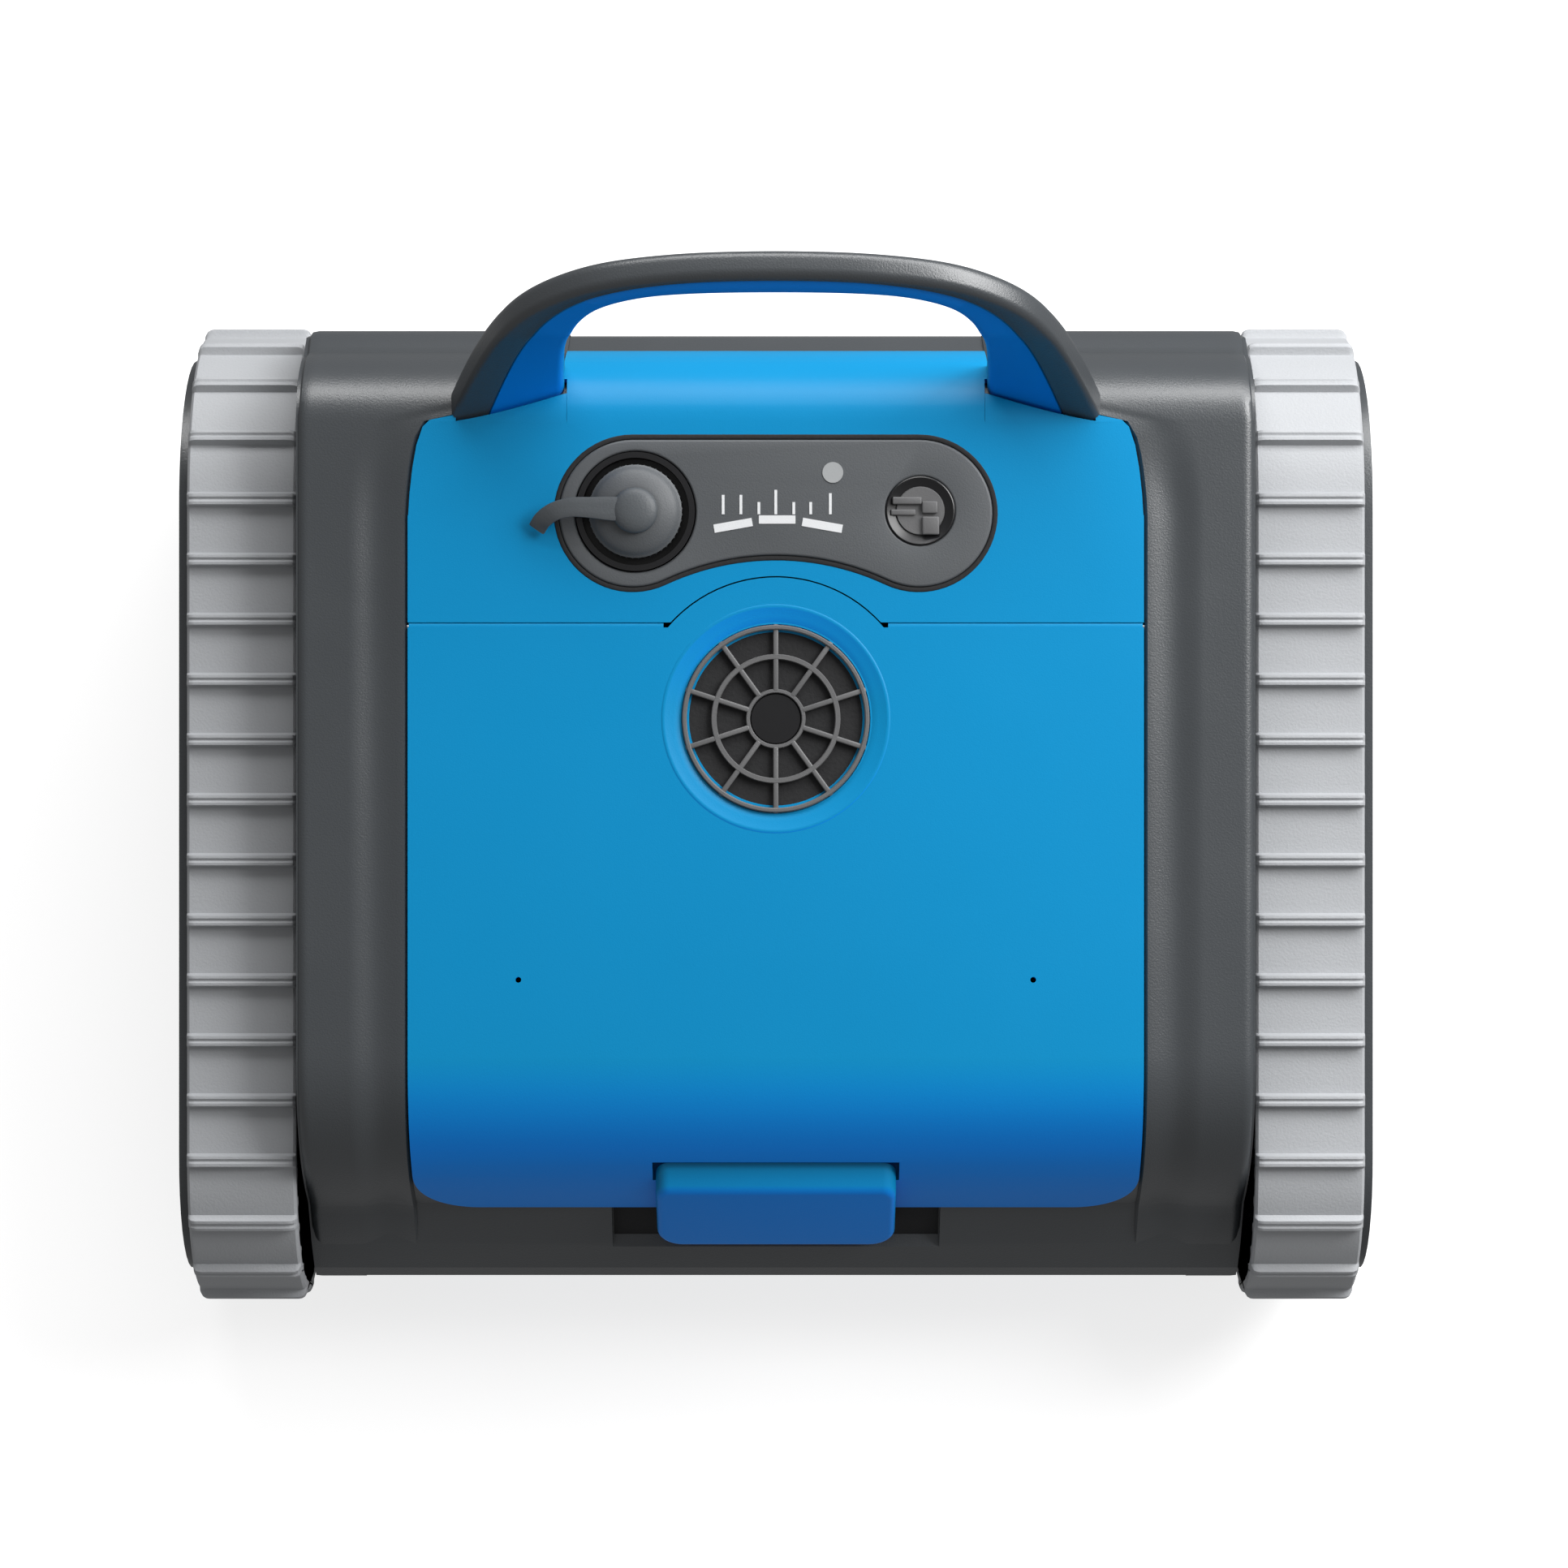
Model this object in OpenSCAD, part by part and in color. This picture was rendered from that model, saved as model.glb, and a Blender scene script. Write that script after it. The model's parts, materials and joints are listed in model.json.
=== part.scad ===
// Cordless pool cleaner on two ribbed belts, with a hinged filter lid, a brush roller at each end
// and a carrying handle. Rear is +Y, front is -Y, up is +Z.

/* [Overall] */
// Width over both side plates
overall_w = 440; // [366:1:528]
// Inner teeth on each belt, which set the distance between the axles
belt_teeth = 76; // [64:2:92]
// Radius of the rear wheels at the inner face of the belt
rear_wheel_r = 63.1; // [52.5:0.1:75.8]
// Height of the deck above the top run of the belts
deck_rise = 22; // [18:0.5:27]
// Clearance between the floor and the underside
ride_h = 18; // [15:0.5:21.5]

/* [Tracks] */
// Width of each belt
belt_w = 40; // [33:0.5:48]
// Thickness of the belt between its ribs
belt_t = 3.9; // [3.2:0.1:4.7]
// Height of the ribs above the belt
rib_h = 3; // [2.5:0.1:3.6]
// Width of the housing strip on each side of the lid
strip_w = 40.5; // [34:0.5:48]

/* [Top] */
// Height of the handle above the deck
handle_h = 81; // [67:1:97]
// Thickness of the lid and the rear cover
skin_t = 3; // [2.5:0.1:3.6]
// Radius of the round outlet grille
grille_r = 34; // [29:0.5:38]
// Radius of the two ends of the control panel
panel_r = 27; // [24:0.5:29]
// Half the width of the latch
latch_half_w = 44.6; // [37:0.2:53]

/* [Hidden] */
$fn = 64;
rear_teeth = 36;
front_teeth = 28;
teeth_per_rib = 2;
rib_phase = 0.276;
gap = 0.5;
seam = 0.5;
side_t = 3;
plate_gap = 1;
shell_t = 3.5;
inset = 2;
deck_t = 7;
ledge = 6;
cover_seat = 3.2;
belt_tooth_h = 2.2;
shaft_r = 5;
run_fit = 0.05;
bush_r = 8;
k = rear_wheel_r / 63.1;

// belt loop round the two wheels
front_wheel_r = rear_wheel_r * front_teeth / rear_teeth;
tooth_pitch = 2 * PI * rear_wheel_r / rear_teeth;
rib_pitch = teeth_per_rib * tooth_pitch;
rib_count = belt_teeth / teeth_per_rib;
loop_len = belt_teeth * tooth_pitch;
function half_slope(c) = asin((rear_wheel_r - front_wheel_r) / c);
function rad(a) = a * PI / 180;
function next_centre(c) = (loop_len - rear_wheel_r * (PI + 2 * rad(half_slope(c)))
    - front_wheel_r * (PI - 2 * rad(half_slope(c)))) / (2 * cos(half_slope(c)));
function centre_gap(c, n) = n == 0 ? c : centre_gap(next_centre(c), n - 1);
axle_gap = centre_gap((loop_len - PI * (rear_wheel_r + front_wheel_r)) / 2, 6);
tau = 2 * half_slope(axle_gap);
run_len = axle_gap * cos(tau / 2);
rear_tip = rear_wheel_r + belt_t + rib_h;
front_tip = front_wheel_r + belt_t + rib_h;
rear_axle = [(run_len + front_tip - rear_tip) / 2, rear_tip];
front_axle = [rear_axle[0] - run_len, front_tip];
s_rear = rear_wheel_r * (PI + rad(tau));
s_top = s_rear + run_len;
s_front = s_top + front_wheel_r * (PI - rad(tau));
function turned(c, r, a) = [c[0] + r * cos(a), c[1] + r * sin(a)];
function loop_point(s, o) =
    s < s_rear ? turned(rear_axle, rear_wheel_r + o, -90 + s / rear_wheel_r * 180 / PI)
    : s < s_top ? turned(rear_axle, rear_wheel_r + o, 90 + tau) - (s - s_rear) * [cos(tau), sin(tau)]
    : s < s_front ? turned(front_axle, front_wheel_r + o, 90 + tau + (s - s_top) / front_wheel_r * 180 / PI)
    : [front_axle[0] + s - s_front, front_axle[1] - front_wheel_r - o];
function on_loop(s, o) = loop_point(s - loop_len * floor(s / loop_len), o);
rib_form = [[-2.6, 0], [-1.9, 1], [-0.5, 1], [0, 0.8], [0.5, 1], [1.9, 1], [2.6, 0],
    [5.6, 0], [8.4, 0], [11, 0], [13.6, 0], [16.5, 0]];
tooth_form = [[-2.2, 0], [-1.5, 1], [1.5, 1], [2.2, 0], [4.4, 0], [6.6, 0]];
form_k = rib_pitch / 22.026;

// body
half_w = overall_w / 2;
belt_out = half_w - side_t - plate_gap;
belt_in = belt_out - belt_w;
hw = belt_in - 2.5;
lid_half = hw - strip_w;
top_w = -sin(tau) * rear_axle[0] + cos(tau) * rear_axle[1] + rear_tip;
deck_w = top_w + deck_rise;
rear_y = rear_axle[0] + rear_tip - 8.3;
front_y = front_axle[0] - front_tip + 7.2;
function deck_z(y) = deck_w / cos(tau) + tan(tau) * y;
deck_end = rear_y - 44.4;
deck_start = front_y + 79.6;
v_end = deck_end * cos(tau) + deck_z(deck_end) * sin(tau);
brush_r = 24 * k;
brush_z = brush_r + 2;
bay_r = brush_r + 2.4;
gear_m = 1.5 * k;
small_teeth = 18;
front_gear_teeth = 28;
rear_gear_teeth = 50;
front_mesh = gear_m * (front_gear_teeth + small_teeth) / 2;
rear_mesh = gear_m * (rear_gear_teeth + small_teeth) / 2;
front_brush = [front_axle[0] - sqrt(pow(front_mesh, 2) - pow(front_axle[1] - brush_z, 2)), brush_z];
rear_brush = [rear_axle[0] + sqrt(pow(rear_mesh, 2) - pow(rear_axle[1] - brush_z, 2)), brush_z];
lip_z = brush_z + brush_r;
lid_edge = [front_y + 26.6, lip_z + 38];
cover_edge = [rear_y - 13.4, deck_z(deck_end) - 24.6];
split_z = front_axle[1] - bush_r - 3.7;
function bezier(p, t) = pow(1 - t, 3) * p[0] + 3 * t * pow(1 - t, 2) * p[1]
    + 3 * t * t * (1 - t) * p[2] + pow(t, 3) * p[3];
front_curve = [[deck_start, deck_z(deck_start)],
    [deck_start, deck_z(deck_start)] - 34 * [cos(tau), sin(tau)],
    lid_edge + 22 * [cos(70), sin(70)], lid_edge];
rear_curve = [cover_edge, cover_edge + [-4, 12],
    [deck_end, deck_z(deck_end)] + 16 * [cos(tau), sin(tau)], [deck_end, deck_z(deck_end)]];
outline = concat(
    [[front_y, lip_z], [front_y, lip_z + 4], [front_y + 3, lip_z + 11], [front_y + 12.5, lip_z + 24]],
    [for (i = [20:-1:0]) bezier(front_curve, i / 20)],
    [for (i = [14:-1:0]) bezier(rear_curve, i / 14)],
    [[rear_y - 4.5, cover_edge[1] - 9], [rear_y - 1.5, cover_edge[1] - 20], [rear_y, cover_edge[1] - 36], [rear_y, ride_h + 12],
    [rear_y - 8, ride_h], [front_y + 12, ride_h], [front_y, ride_h + 12]]);

// features on the deck, measured along it from the end of its flat part
panel_v = v_end - 33.3;
panel_x = 51.7;
part_v = v_end - 74.3;
grille_v = v_end - 107.5;
arch_r = grille_r + 17.3;
arch_x = sqrt(pow(arch_r, 2) - pow(part_v - grille_v, 2));
waist_v = panel_v - 15.5;
waist_r = (pow(panel_x, 2) + pow(panel_v - waist_v, 2) - pow(panel_r, 2)) / (2 * (panel_r - (panel_v - waist_v)));
waist_a = atan2(panel_v - waist_v + waist_r, panel_x);
hinge_r = skin_t - 0.1;
pin_r = 0.9;
hinge = [part_v * cos(tau) - (deck_w - skin_t) * sin(tau), part_v * sin(tau) + (deck_w - skin_t) * cos(tau)];
cap_at = [-50.7, panel_v + 0.6];
switch_at = [52.2, panel_v + 0.9];
latch_pivot = bezier(front_curve, 0.6) + [2.1, -1.3];
latch_r = 5.4;

// inside
box_half = hw - 85.5;
box_y = [rear_y - 95.4, rear_y - 25.4];
box_z = [brush_z + bay_r + deck_t + 2, deck_z(box_y[0]) - 23];
duct_r = grille_r - 4;
motor_top = -48;
motor_len = 44;
motor_r = 17 * min(1, pow(k, 1.6));
basket_half = hw - 61.5;
basket_y = [front_brush[0] + bay_r + 12.5, grille_v * cos(tau) - deck_w * sin(tau) - duct_r - 8];
basket_z = [ride_h + 12, deck_z(basket_y[0]) - 20.4];
inlet_x = basket_half * 0.53;
inlet_y = (basket_y[0] + basket_y[1]) / 2;
inlet_half = [basket_half * 0.25, (basket_y[1] - basket_y[0]) * 0.16];
flap_z = basket_z[0] + 14;
flap_k = min(1, (basket_y[1] - basket_y[0]) / 62);
frame_y = [front_axle[0] + front_wheel_r + 13, rear_axle[0] - rear_wheel_r - 13];
frame_top = (top_w - belt_t - rib_h - belt_tooth_h) / cos(tau) + tan(tau) * frame_y[0] - 19;
roller_r = 13 * k;
roller_at = [(frame_y[0] + frame_y[1]) / 2, belt_t + rib_h + belt_tooth_h + 0.4 + roller_r];
frame_low = roller_at[1] + roller_r * 0.6;
screw_y = [frame_y[0] + 9, frame_y[1] - 9];
screw_z = [frame_low + 9, frame_top - 9];
column_x = hw - 21;
column_y = [front_axle[0] + 41, rear_axle[0] - 63];
gear_x = [hw - 13.5, hw - 7.5];

dark = [0.2, 0.21, 0.22];
black = [0.05, 0.05, 0.055];
blue = [0.02, 0.4, 0.75];
pale = [0.62, 0.65, 0.68];
steel = [0.7, 0.71, 0.72];

// profile in the Y-Z plane, drawn out along X
module along_x(x0, x1) {
    translate([x0, 0, 0])
        rotate([90, 0, 90])
            linear_extrude(height = x1 - x0)
                children();
}

module sides() {
    children();
    mirror([1, 0, 0])
        children();
}

// round bar or hole parallel to X
module bar_x(x0, x1, r, at) {
    translate([x0, at[0], at[1]])
        rotate([0, 90, 0])
            cylinder(h = x1 - x0, r = r);
}

module deck() {
    rotate([tau, 0, 0])
        translate([0, 0, deck_w])
            children();
}

module body_line(o) {
    offset(delta = o)
        polygon(outline);
}

module bays() {
    translate(front_brush)
        circle(r = bay_r);
    translate(rear_brush)
        circle(r = bay_r);
    translate([front_brush[0] - 60, -1])
        square([60, lip_z + 1]);
    translate([rear_brush[0], -1])
        square([60, lip_z + 1]);
}

module centre_section(o) {
    offset(delta = o)
        difference() {
            body_line(-inset);
            bays();
        }
}

module cheek_section(o) {
    offset(delta = o)
        union() {
            body_line(-inset);
            for (b = [front_brush, rear_brush])
                translate(b)
                    circle(r = 20 * k);
        }
}

// everything above the lower edges of the lid and the cover
module skin_zone(g) {
    polygon([[-600, lid_edge[1] - g], [0, lid_edge[1] - g], [0, cover_edge[1] - g],
        [600, cover_edge[1] - g], [600, 700], [-600, 700]]);
}

// everything above the lower edge of the lid and in front of the hinge
module lid_zone(g, back) {
    translate([-600, lid_edge[1] - g])
        square([600 + hinge[0] - back, 600]);
}

// the part of the deck that belongs to the lid
module lid_area(g, depth) {
    deck()
        translate([0, 0, -depth])
            linear_extrude(height = depth + 30)
                union() {
                    translate([-lid_half - 20, part_v - 700])
                        square([2 * lid_half + 40, 700 + g]);
                    translate([0, grille_v])
                        circle(r = arch_r + g);
                }
}

// the seat of the rear cover
module cover_ring() {
    intersection() {
        difference() {
            body_line(8);
            body_line(-cover_seat);
        }
        skin_zone(0.4);
        translate([hinge[0] - 1, 0])
            square([600, 600]);
    }
}

// corner behind each handle foot, where the housing comes up to the rear edge
module cover_corner(o) {
    deck()
        translate([0, v_end, -60])
            linear_extrude(height = 90)
                offset(delta = o)
                    polygon([[lid_half + 30, -34], [lid_half - 0.2, -34], [lid_half - 0.7, -26], [lid_half - 1.7, -17],
                        [lid_half - 3.2, -8.5], [lid_half - 5.4, -2], [lid_half - 8, 0.5], [108, 4], [92, 8.5],
                        [81, 15], [77, 23], [76, 34], [76, 90], [lid_half + 30, 90]]);
}

module skin() {
    intersection() {
        difference() {
            along_x(-lid_half, lid_half) body_line(0);
            along_x(-lid_half - 1, lid_half + 1) body_line(-skin_t);
        }
        along_x(-lid_half, lid_half) skin_zone(0);
    }
}

module corner_cut(x, g) {
    r = 23;
    translate([0, 0, 0])
        rotate([90, 0, 0])
            translate([0, 0, 0])
                linear_extrude(height = 300)
                    difference() {
                        translate([x - r, lid_edge[1] - 1 - g])
                            square([r + 1 + g, r + 1 + g]);
                        translate([x - r, lid_edge[1] + r])
                            circle(r = r + g);
                    }
}

module hinge_bar(x0, x1, r) {
    bar_x(x0, x1, r, hinge);
}

function panel_line(o) = concat(
    [for (a = [90:7.5:360 - waist_a]) [-panel_x + (panel_r + o) * cos(a), panel_v + (panel_r + o) * sin(a)]],
    [for (a = [180 - waist_a:-5:waist_a]) [(waist_r - o) * cos(a), waist_v - waist_r + (waist_r - o) * sin(a)]],
    [for (a = [180 + waist_a:7.5:450]) [panel_x + (panel_r + o) * cos(a), panel_v + (panel_r + o) * sin(a)]]);

module panel_plate(o, low, high) {
    deck()
        translate([0, 0, low])
            linear_extrude(height = high - low)
                polygon(panel_line(o));
}

module deck_round(at, r, low, high) {
    deck()
        translate([at[0], at[1], low])
            cylinder(h = high - low, r = r);
}

// handle seen from the front and from the side
kx = (lid_half - 12) / 121;
kz = handle_h / 81;
foot_z = deck_z(deck_end);
handle_outer = [[121, -24], [116.5, -4], [108, 20], [101, 38], [94.5, 50], [86, 59.5], [75, 67.5],
    [62, 73.5], [46, 77.8], [26, 80.2], [0, 81]];
handle_mid = [[108, -24], [104, -4], [97, 18], [90.5, 36], [83.5, 50], [74.5, 60], [63, 67.5],
    [48, 72.8], [28, 75.6], [0, 76.4]];
handle_inner = [[77, -24], [76, 0], [74, 30], [71.5, 45], [66, 56], [56, 63.5], [40, 67.2], [0, 68]];
function both_ways(p) = concat([for (q = p) [q[0] * kx, foot_z + q[1] * kz]],
    [for (i = [len(p) - 2:-1:0]) [-p[i][0] * kx, foot_z + p[i][1] * kz]]);
function handle_side(back) = [[deck_end - 9, foot_z - 24], [deck_end + 0.4, foot_z],
    [deck_end + 29.9, foot_z + 67.5 * kz], [deck_end + 34, foot_z + 77 * kz], [deck_end + 36.5, foot_z + 80 * kz],
    [deck_end + 39, foot_z + 81 * kz], [deck_end + 44 - back, foot_z + 80.6 * kz],
    [deck_end + 46.5 - back, foot_z + 78 * kz], [deck_end + 47 - back, foot_z + 73 * kz],
    [deck_end + 17 - back, foot_z - 1], [deck_end + 9 - back, foot_z - 24]];

module arch(outer, inner) {
    translate([0, deck_end + 90, 0])
        rotate([90, 0, 0])
            linear_extrude(height = 120)
                difference() {
                    polygon(both_ways(outer));
                    polygon(both_ways(inner));
                }
}

module handle_piece(outer, inner, back) {
    difference() {
        intersection() {
            arch(outer, inner);
            along_x(-lid_half, lid_half) polygon(handle_side(back));
        }
        along_x(-lid_half, lid_half) body_line(-cover_seat);
    }
}

module handle_hole() {
    translate([0, deck_end + 90, 0])
        rotate([90, 0, 0])
            linear_extrude(height = 120)
                difference() {
                    offset(delta = gap)
                        polygon(both_ways(handle_outer));
                    offset(delta = -gap)
                        polygon(both_ways(handle_inner));
                }
}

module handle_slot() {
    intersection() {
        handle_hole();
        along_x(-lid_half, lid_half)
            offset(delta = gap)
                polygon(handle_side(0));
    }
}

module upper_housing() {
    color(dark)
        difference() {
            union() {
                difference() {
                    union() {
                        along_x(-hw, hw) centre_section(0);
                        sides()
                            along_x(hw - 17, hw) cheek_section(0);
                    }
                    along_x(-lid_half - 4, lid_half + 4) centre_section(-deck_t);
                    sides()
                        along_x(lid_half + 3, hw - shell_t) centre_section(-shell_t);
                    sides()
                        along_x(hw - 14, hw - shell_t) cheek_section(-shell_t);
                    translate([-hw - 1, -600, -1])
                        cube([2 * hw + 2, 1200, split_z + 1]);
                }
                sides()
                    for (y = column_y)
                        translate([column_x, y, split_z])
                            cylinder(h = deck_z(y) - split_z - 4, r = 6);
                sides()
                    for (a = [front_axle, rear_axle])
                        bar_x(hw - 6, hw - 1, bush_r + 3.5, a);
            }
            sides()
                for (a = [front_axle, rear_axle])
                    bar_x(hw - 7, hw + 1, bush_r, a);
            // seats for the lid and the rear cover
            difference() {
                along_x(-lid_half - 0.4, lid_half + 0.4) intersection() {
                    difference() {
                        body_line(8);
                        body_line(-ledge);
                    }
                    lid_zone(0.4, 0);
                }
                sides()
                    corner_cut(lid_half + 0.4, 0);
            }
            difference() {
                along_x(-lid_half - 0.4, lid_half + 0.4) cover_ring();
                sides()
                    cover_corner(-0.4);
            }
            intersection() {
                along_x(-lid_half, lid_half) cover_ring();
                handle_slot();
            }
            hinge_bar(-lid_half - 0.4, lid_half + 0.4, hinge_r + 1.2);
            hinge_bar(-lid_half - 3.6, lid_half + 3.6, pin_r);
            // mouth above the filter
            along_x(-lid_half + 12, lid_half - 12) intersection() {
                difference() {
                    body_line(5);
                    body_line(-inset - deck_t - 3);
                }
                lid_zone(-9, 12);
            }
            deck()
                translate([-arch_x - 4, part_v - 16, -30])
                    cube([2 * arch_x + 8, arch_r + grille_v - part_v + 18, 40]);
            deck_round(cap_at, 21.9, -12, 5);
            deck_round(switch_at, 10.6, -12, 5);
            // recess round the latch, and its catch
            along_x(-61, 61) intersection() {
                difference() {
                    body_line(8);
                    body_line(-ledge);
                }
                translate([front_y - 10, lid_edge[1] - 17.5])
                    square([60, 18]);
            }
            sides()
                for (y = column_y)
                    translate([column_x, y, split_z - 1])
                        cylinder(h = 17, r = 2.1);
        }
    color(dark)
        along_x(-12, 12) intersection() {
            difference() {
                body_line(-3);
                body_line(-ledge - 1);
            }
            translate([front_y - 10, lid_edge[1] - 6.6])
                square([60, 2.6]);
        }
}

module lower_chassis() {
    color(dark)
        difference() {
            union() {
                difference() {
                    union() {
                        along_x(-hw, hw) centre_section(0);
                        sides()
                            along_x(hw - 17, hw) cheek_section(0);
                    }
                    along_x(-hw + shell_t, hw - shell_t) centre_section(-shell_t);
                    sides()
                        along_x(hw - 14, hw - shell_t) cheek_section(-shell_t);
                    translate([-hw - 1, -600, split_z])
                        cube([2 * hw + 2, 1200, 600]);
                }
                sides()
                    for (y = column_y)
                        translate([column_x, y, ride_h + 3])
                            cylinder(h = split_z - ride_h - 3, r = 6);
                // collars of the two inlets
                sides()
                    translate([inlet_x - inlet_half[0] - 3, inlet_y - inlet_half[1] - 3, ride_h + 3])
                        cube([2 * inlet_half[0] + 6, 2 * inlet_half[1] + 6, basket_z[0] - ride_h - 3.3]);
                // saddles of the gearmotors and legs of the sealed box and the pump
                sides()
                    for (x = [box_half + 14, hw - 40])
                        translate([x, rear_axle[0] - 28, ride_h + 3])
                            cube([4, 19, rear_axle[1] - ride_h - 15]);
                sides()
                    translate([box_half - 18, box_y[0] + 6, ride_h + 3])
                        cube([8, 10, box_z[0] - ride_h - 3.3]);
                translate([0, pump_foot_y(), ride_h + 3])
                    cylinder(h = pump_foot_z() - ride_h - 5, r = 14);
            }
            sides()
                translate([inlet_x - inlet_half[0], inlet_y - inlet_half[1], 0])
                    cube([2 * inlet_half[0], 2 * inlet_half[1], 100]);
            // space for the motors in their saddles
            bar_x(-hw + 26, hw - 26, motor_r + 0.2, rear_axle);
            for (b = [front_brush, rear_brush])
                bar_x(-hw + 2, hw - 2, 4 + run_fit, b);
            sides()
                for (y = column_y) {
                    translate([column_x, y, ride_h])
                        cylinder(h = 60, r = 2.3);
                    translate([column_x, y, ride_h])
                        cylinder(h = 5, r = 4.4);
                }
        }
}

function pump_foot_y() = grille_v * cos(tau) - (deck_w + motor_top - motor_len) * sin(tau);
function pump_foot_z() = grille_v * sin(tau) + (deck_w + motor_top - motor_len) * cos(tau) - 1.5;

module rear_cover() {
    color(blue)
        difference() {
            skin();
            lid_area(seam / 2, 200);
            deck()
                translate([0, grille_v, -skin_t - 0.2])
                    cylinder(h = skin_t + 0.2, r1 = arch_r + 1.9, r2 = arch_r + seam / 2);
            hinge_bar(-lid_half - 1, lid_half + 1, hinge_r + 0.5);
            sides()
                cover_corner(0);
            handle_slot();
            panel_plate(1.3, -8, 8);
        }
}

module control_panel() {
    color(dark)
        difference() {
            panel_plate(0, -skin_t, 0.8);
            deck_round(cap_at, 21.7, -8, 5);
            deck_round(switch_at, 12.4, -1, 5);
            deck_round(switch_at, 10.6, -8, 5);
            bars(0.1, -0.4);
            ticks(0.05, -0.4);
            deck_round([20.6, panel_v + 14.7], 3.85, -0.6, 5);
        }
}

module panel_gasket() {
    color(black)
        difference() {
            panel_plate(1.15, -skin_t, -0.2);
            panel_plate(0.15, -8, 8);
        }
}

module bars(g, low) {
    deck()
        for (b = [[-15.4, -4.4, 14, 10], [0.5, -2.3, 13.2, 0], [16.8, -4.4, 14.6, -10]])
            translate([b[0], panel_v + b[1], low])
                rotate([0, 0, b[3]])
                    translate([-b[2] / 2 - g, -1.5 - g, 0])
                        cube([b[2] + 2 * g, 3 + 2 * g, 1.4]);
}

module ticks(g, low) {
    deck()
        for (t = [[-19, 7], [-12.6, 7], [-6.1, 4.4], [0, 8.8], [6.5, 4.4], [12.6, 4.4], [19.7, 7.6]])
            translate([t[0] - 0.5 - g, panel_v - g - 0.4, low])
                cube([1 + 2 * g, t[1] + 2 * g, 1.4]);
}

module battery_bars() {
    color([0.85, 0.86, 0.86])
        bars(0, -0.4);
}

module scale_ticks() {
    color([0.72, 0.74, 0.74])
        ticks(0, -0.4);
}

module status_light() {
    color([0.6, 0.62, 0.62])
        deck_round([20.6, panel_v + 14.7], 3.75, -0.6, 1.1);
}

module charge_socket() {
    color(black)
        difference() {
            union() {
                deck_round(cap_at, 21.5, -16, 1.6);
            }
            deck_round(cap_at, 19.4, -12, 5);
        }
    color(black)
        difference() {
            deck_round(cap_at, 11.6, -12.5, -1);
            deck_round(cap_at, 8.4, -11, 0);
        }
    color(steel)
        deck()
            for (x = [-3.5, 3.5])
                translate([cap_at[0] + x, cap_at[1], -12])
                    cylinder(h = 8, r = 1.2);
}

module charge_cap() {
    color(dark)
        difference() {
            union() {
                deck()
                    translate([cap_at[0], cap_at[1], -6])
                        linear_extrude(height = 9)
                            polygon([for (i = [0:71]) (i % 2 == 0 ? 17.2 : 16.6) * [cos(5 * i), sin(5 * i)]]);
                deck()
                    translate([cap_at[0], cap_at[1], 0])
                        rotate_extrude()
                            polygon([[0, 2], [16.4, 2], [16.4, 3.4], [14.6, 5], [11, 6.4], [8.5, 7], [0, 7]]);
            }
            deck_round(cap_at, 12, -8, 1);
            deck_round(cap_at, 4 + run_fit, -8, 9);
        }
}

module cap_tether() {
    color([0.28, 0.3, 0.32])
        difference() {
            union() {
                deck_round(cap_at, 4, -0.5, 8);
                deck_round(cap_at, 5.8, -2, -0.4 + 1.1);
                deck()
                    translate([cap_at[0], cap_at[1], 0])
                        rotate_extrude()
                            polygon([[0, 7.3], [8, 7.3], [8, 8.8], [6.9, 10], [4, 10.8], [0, 11]]);
                deck()
                    translate([cap_at[0] - 30, cap_at[1], 7.4])
                        rotate([0, 0, 4])
                            translate([-1, -3.8, 0])
                                cube([29, 7.6, 2]);
                deck()
                    translate([cap_at[0] - 29.5, cap_at[1] - 4.4, 9.4])
                        rotate([0, -44, 0])
                            translate([-9.6, -1.6, -2])
                                cube([10, 7.6, 2]);
            }
            deck_round(cap_at, 12.2, -8, -0.6);
        }
}

module switch_bezel() {
    color(black)
        difference() {
            union() {
                deck_round(switch_at, 12.2, -1, 1.6);
                deck_round(switch_at, 10.4, -11, 0);
            }
            deck_round(switch_at, 9.2, -9.5, 3);
            deck()
                translate([switch_at[0], switch_at[1], -1.5])
                    rotate([90, 0, 0])
                        cylinder(h = 20, r = 1 + run_fit, center = true);
        }
}

module power_switch() {
    color([0.12, 0.125, 0.13])
        deck()
            translate([switch_at[0], switch_at[1], -1.5])
                rotate([0, 8, 0])
                    union() {
                        intersection() {
                            sphere(r = 8.9);
                            rotate([90, 0, 0])
                                translate([0, 0, -10])
                                    linear_extrude(height = 20)
                                        polygon([[-10, 3.6], [0, 2.2], [10, 3.6], [10, -2], [3, -5], [-3, -5], [-10, -2]]);
                        }
                        for (p = [[-7.6, 1.4, 6.6, 2.6], [-7, -1.9, 6, 1.4]])
                            translate([p[0], p[1], 2])
                                cube([p[2], p[3], 2]);
                        translate([0.8, -6.6, 2])
                            cube([4.8, 6.6, 2]);
                        rotate([90, 0, 0])
                            cylinder(h = 19.6, r = 1, center = true);
                    }
}

module handle_frame() {
    color(dark)
        difference() {
            handle_piece(handle_outer, handle_inner, 0);
            intersection() {
                arch(handle_mid, handle_inner);
                along_x(-lid_half, lid_half) polygon(handle_side(4));
            }
        }
}

module handle_insert() {
    color(blue)
        handle_piece(handle_mid, handle_inner, 4);
}

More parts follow.
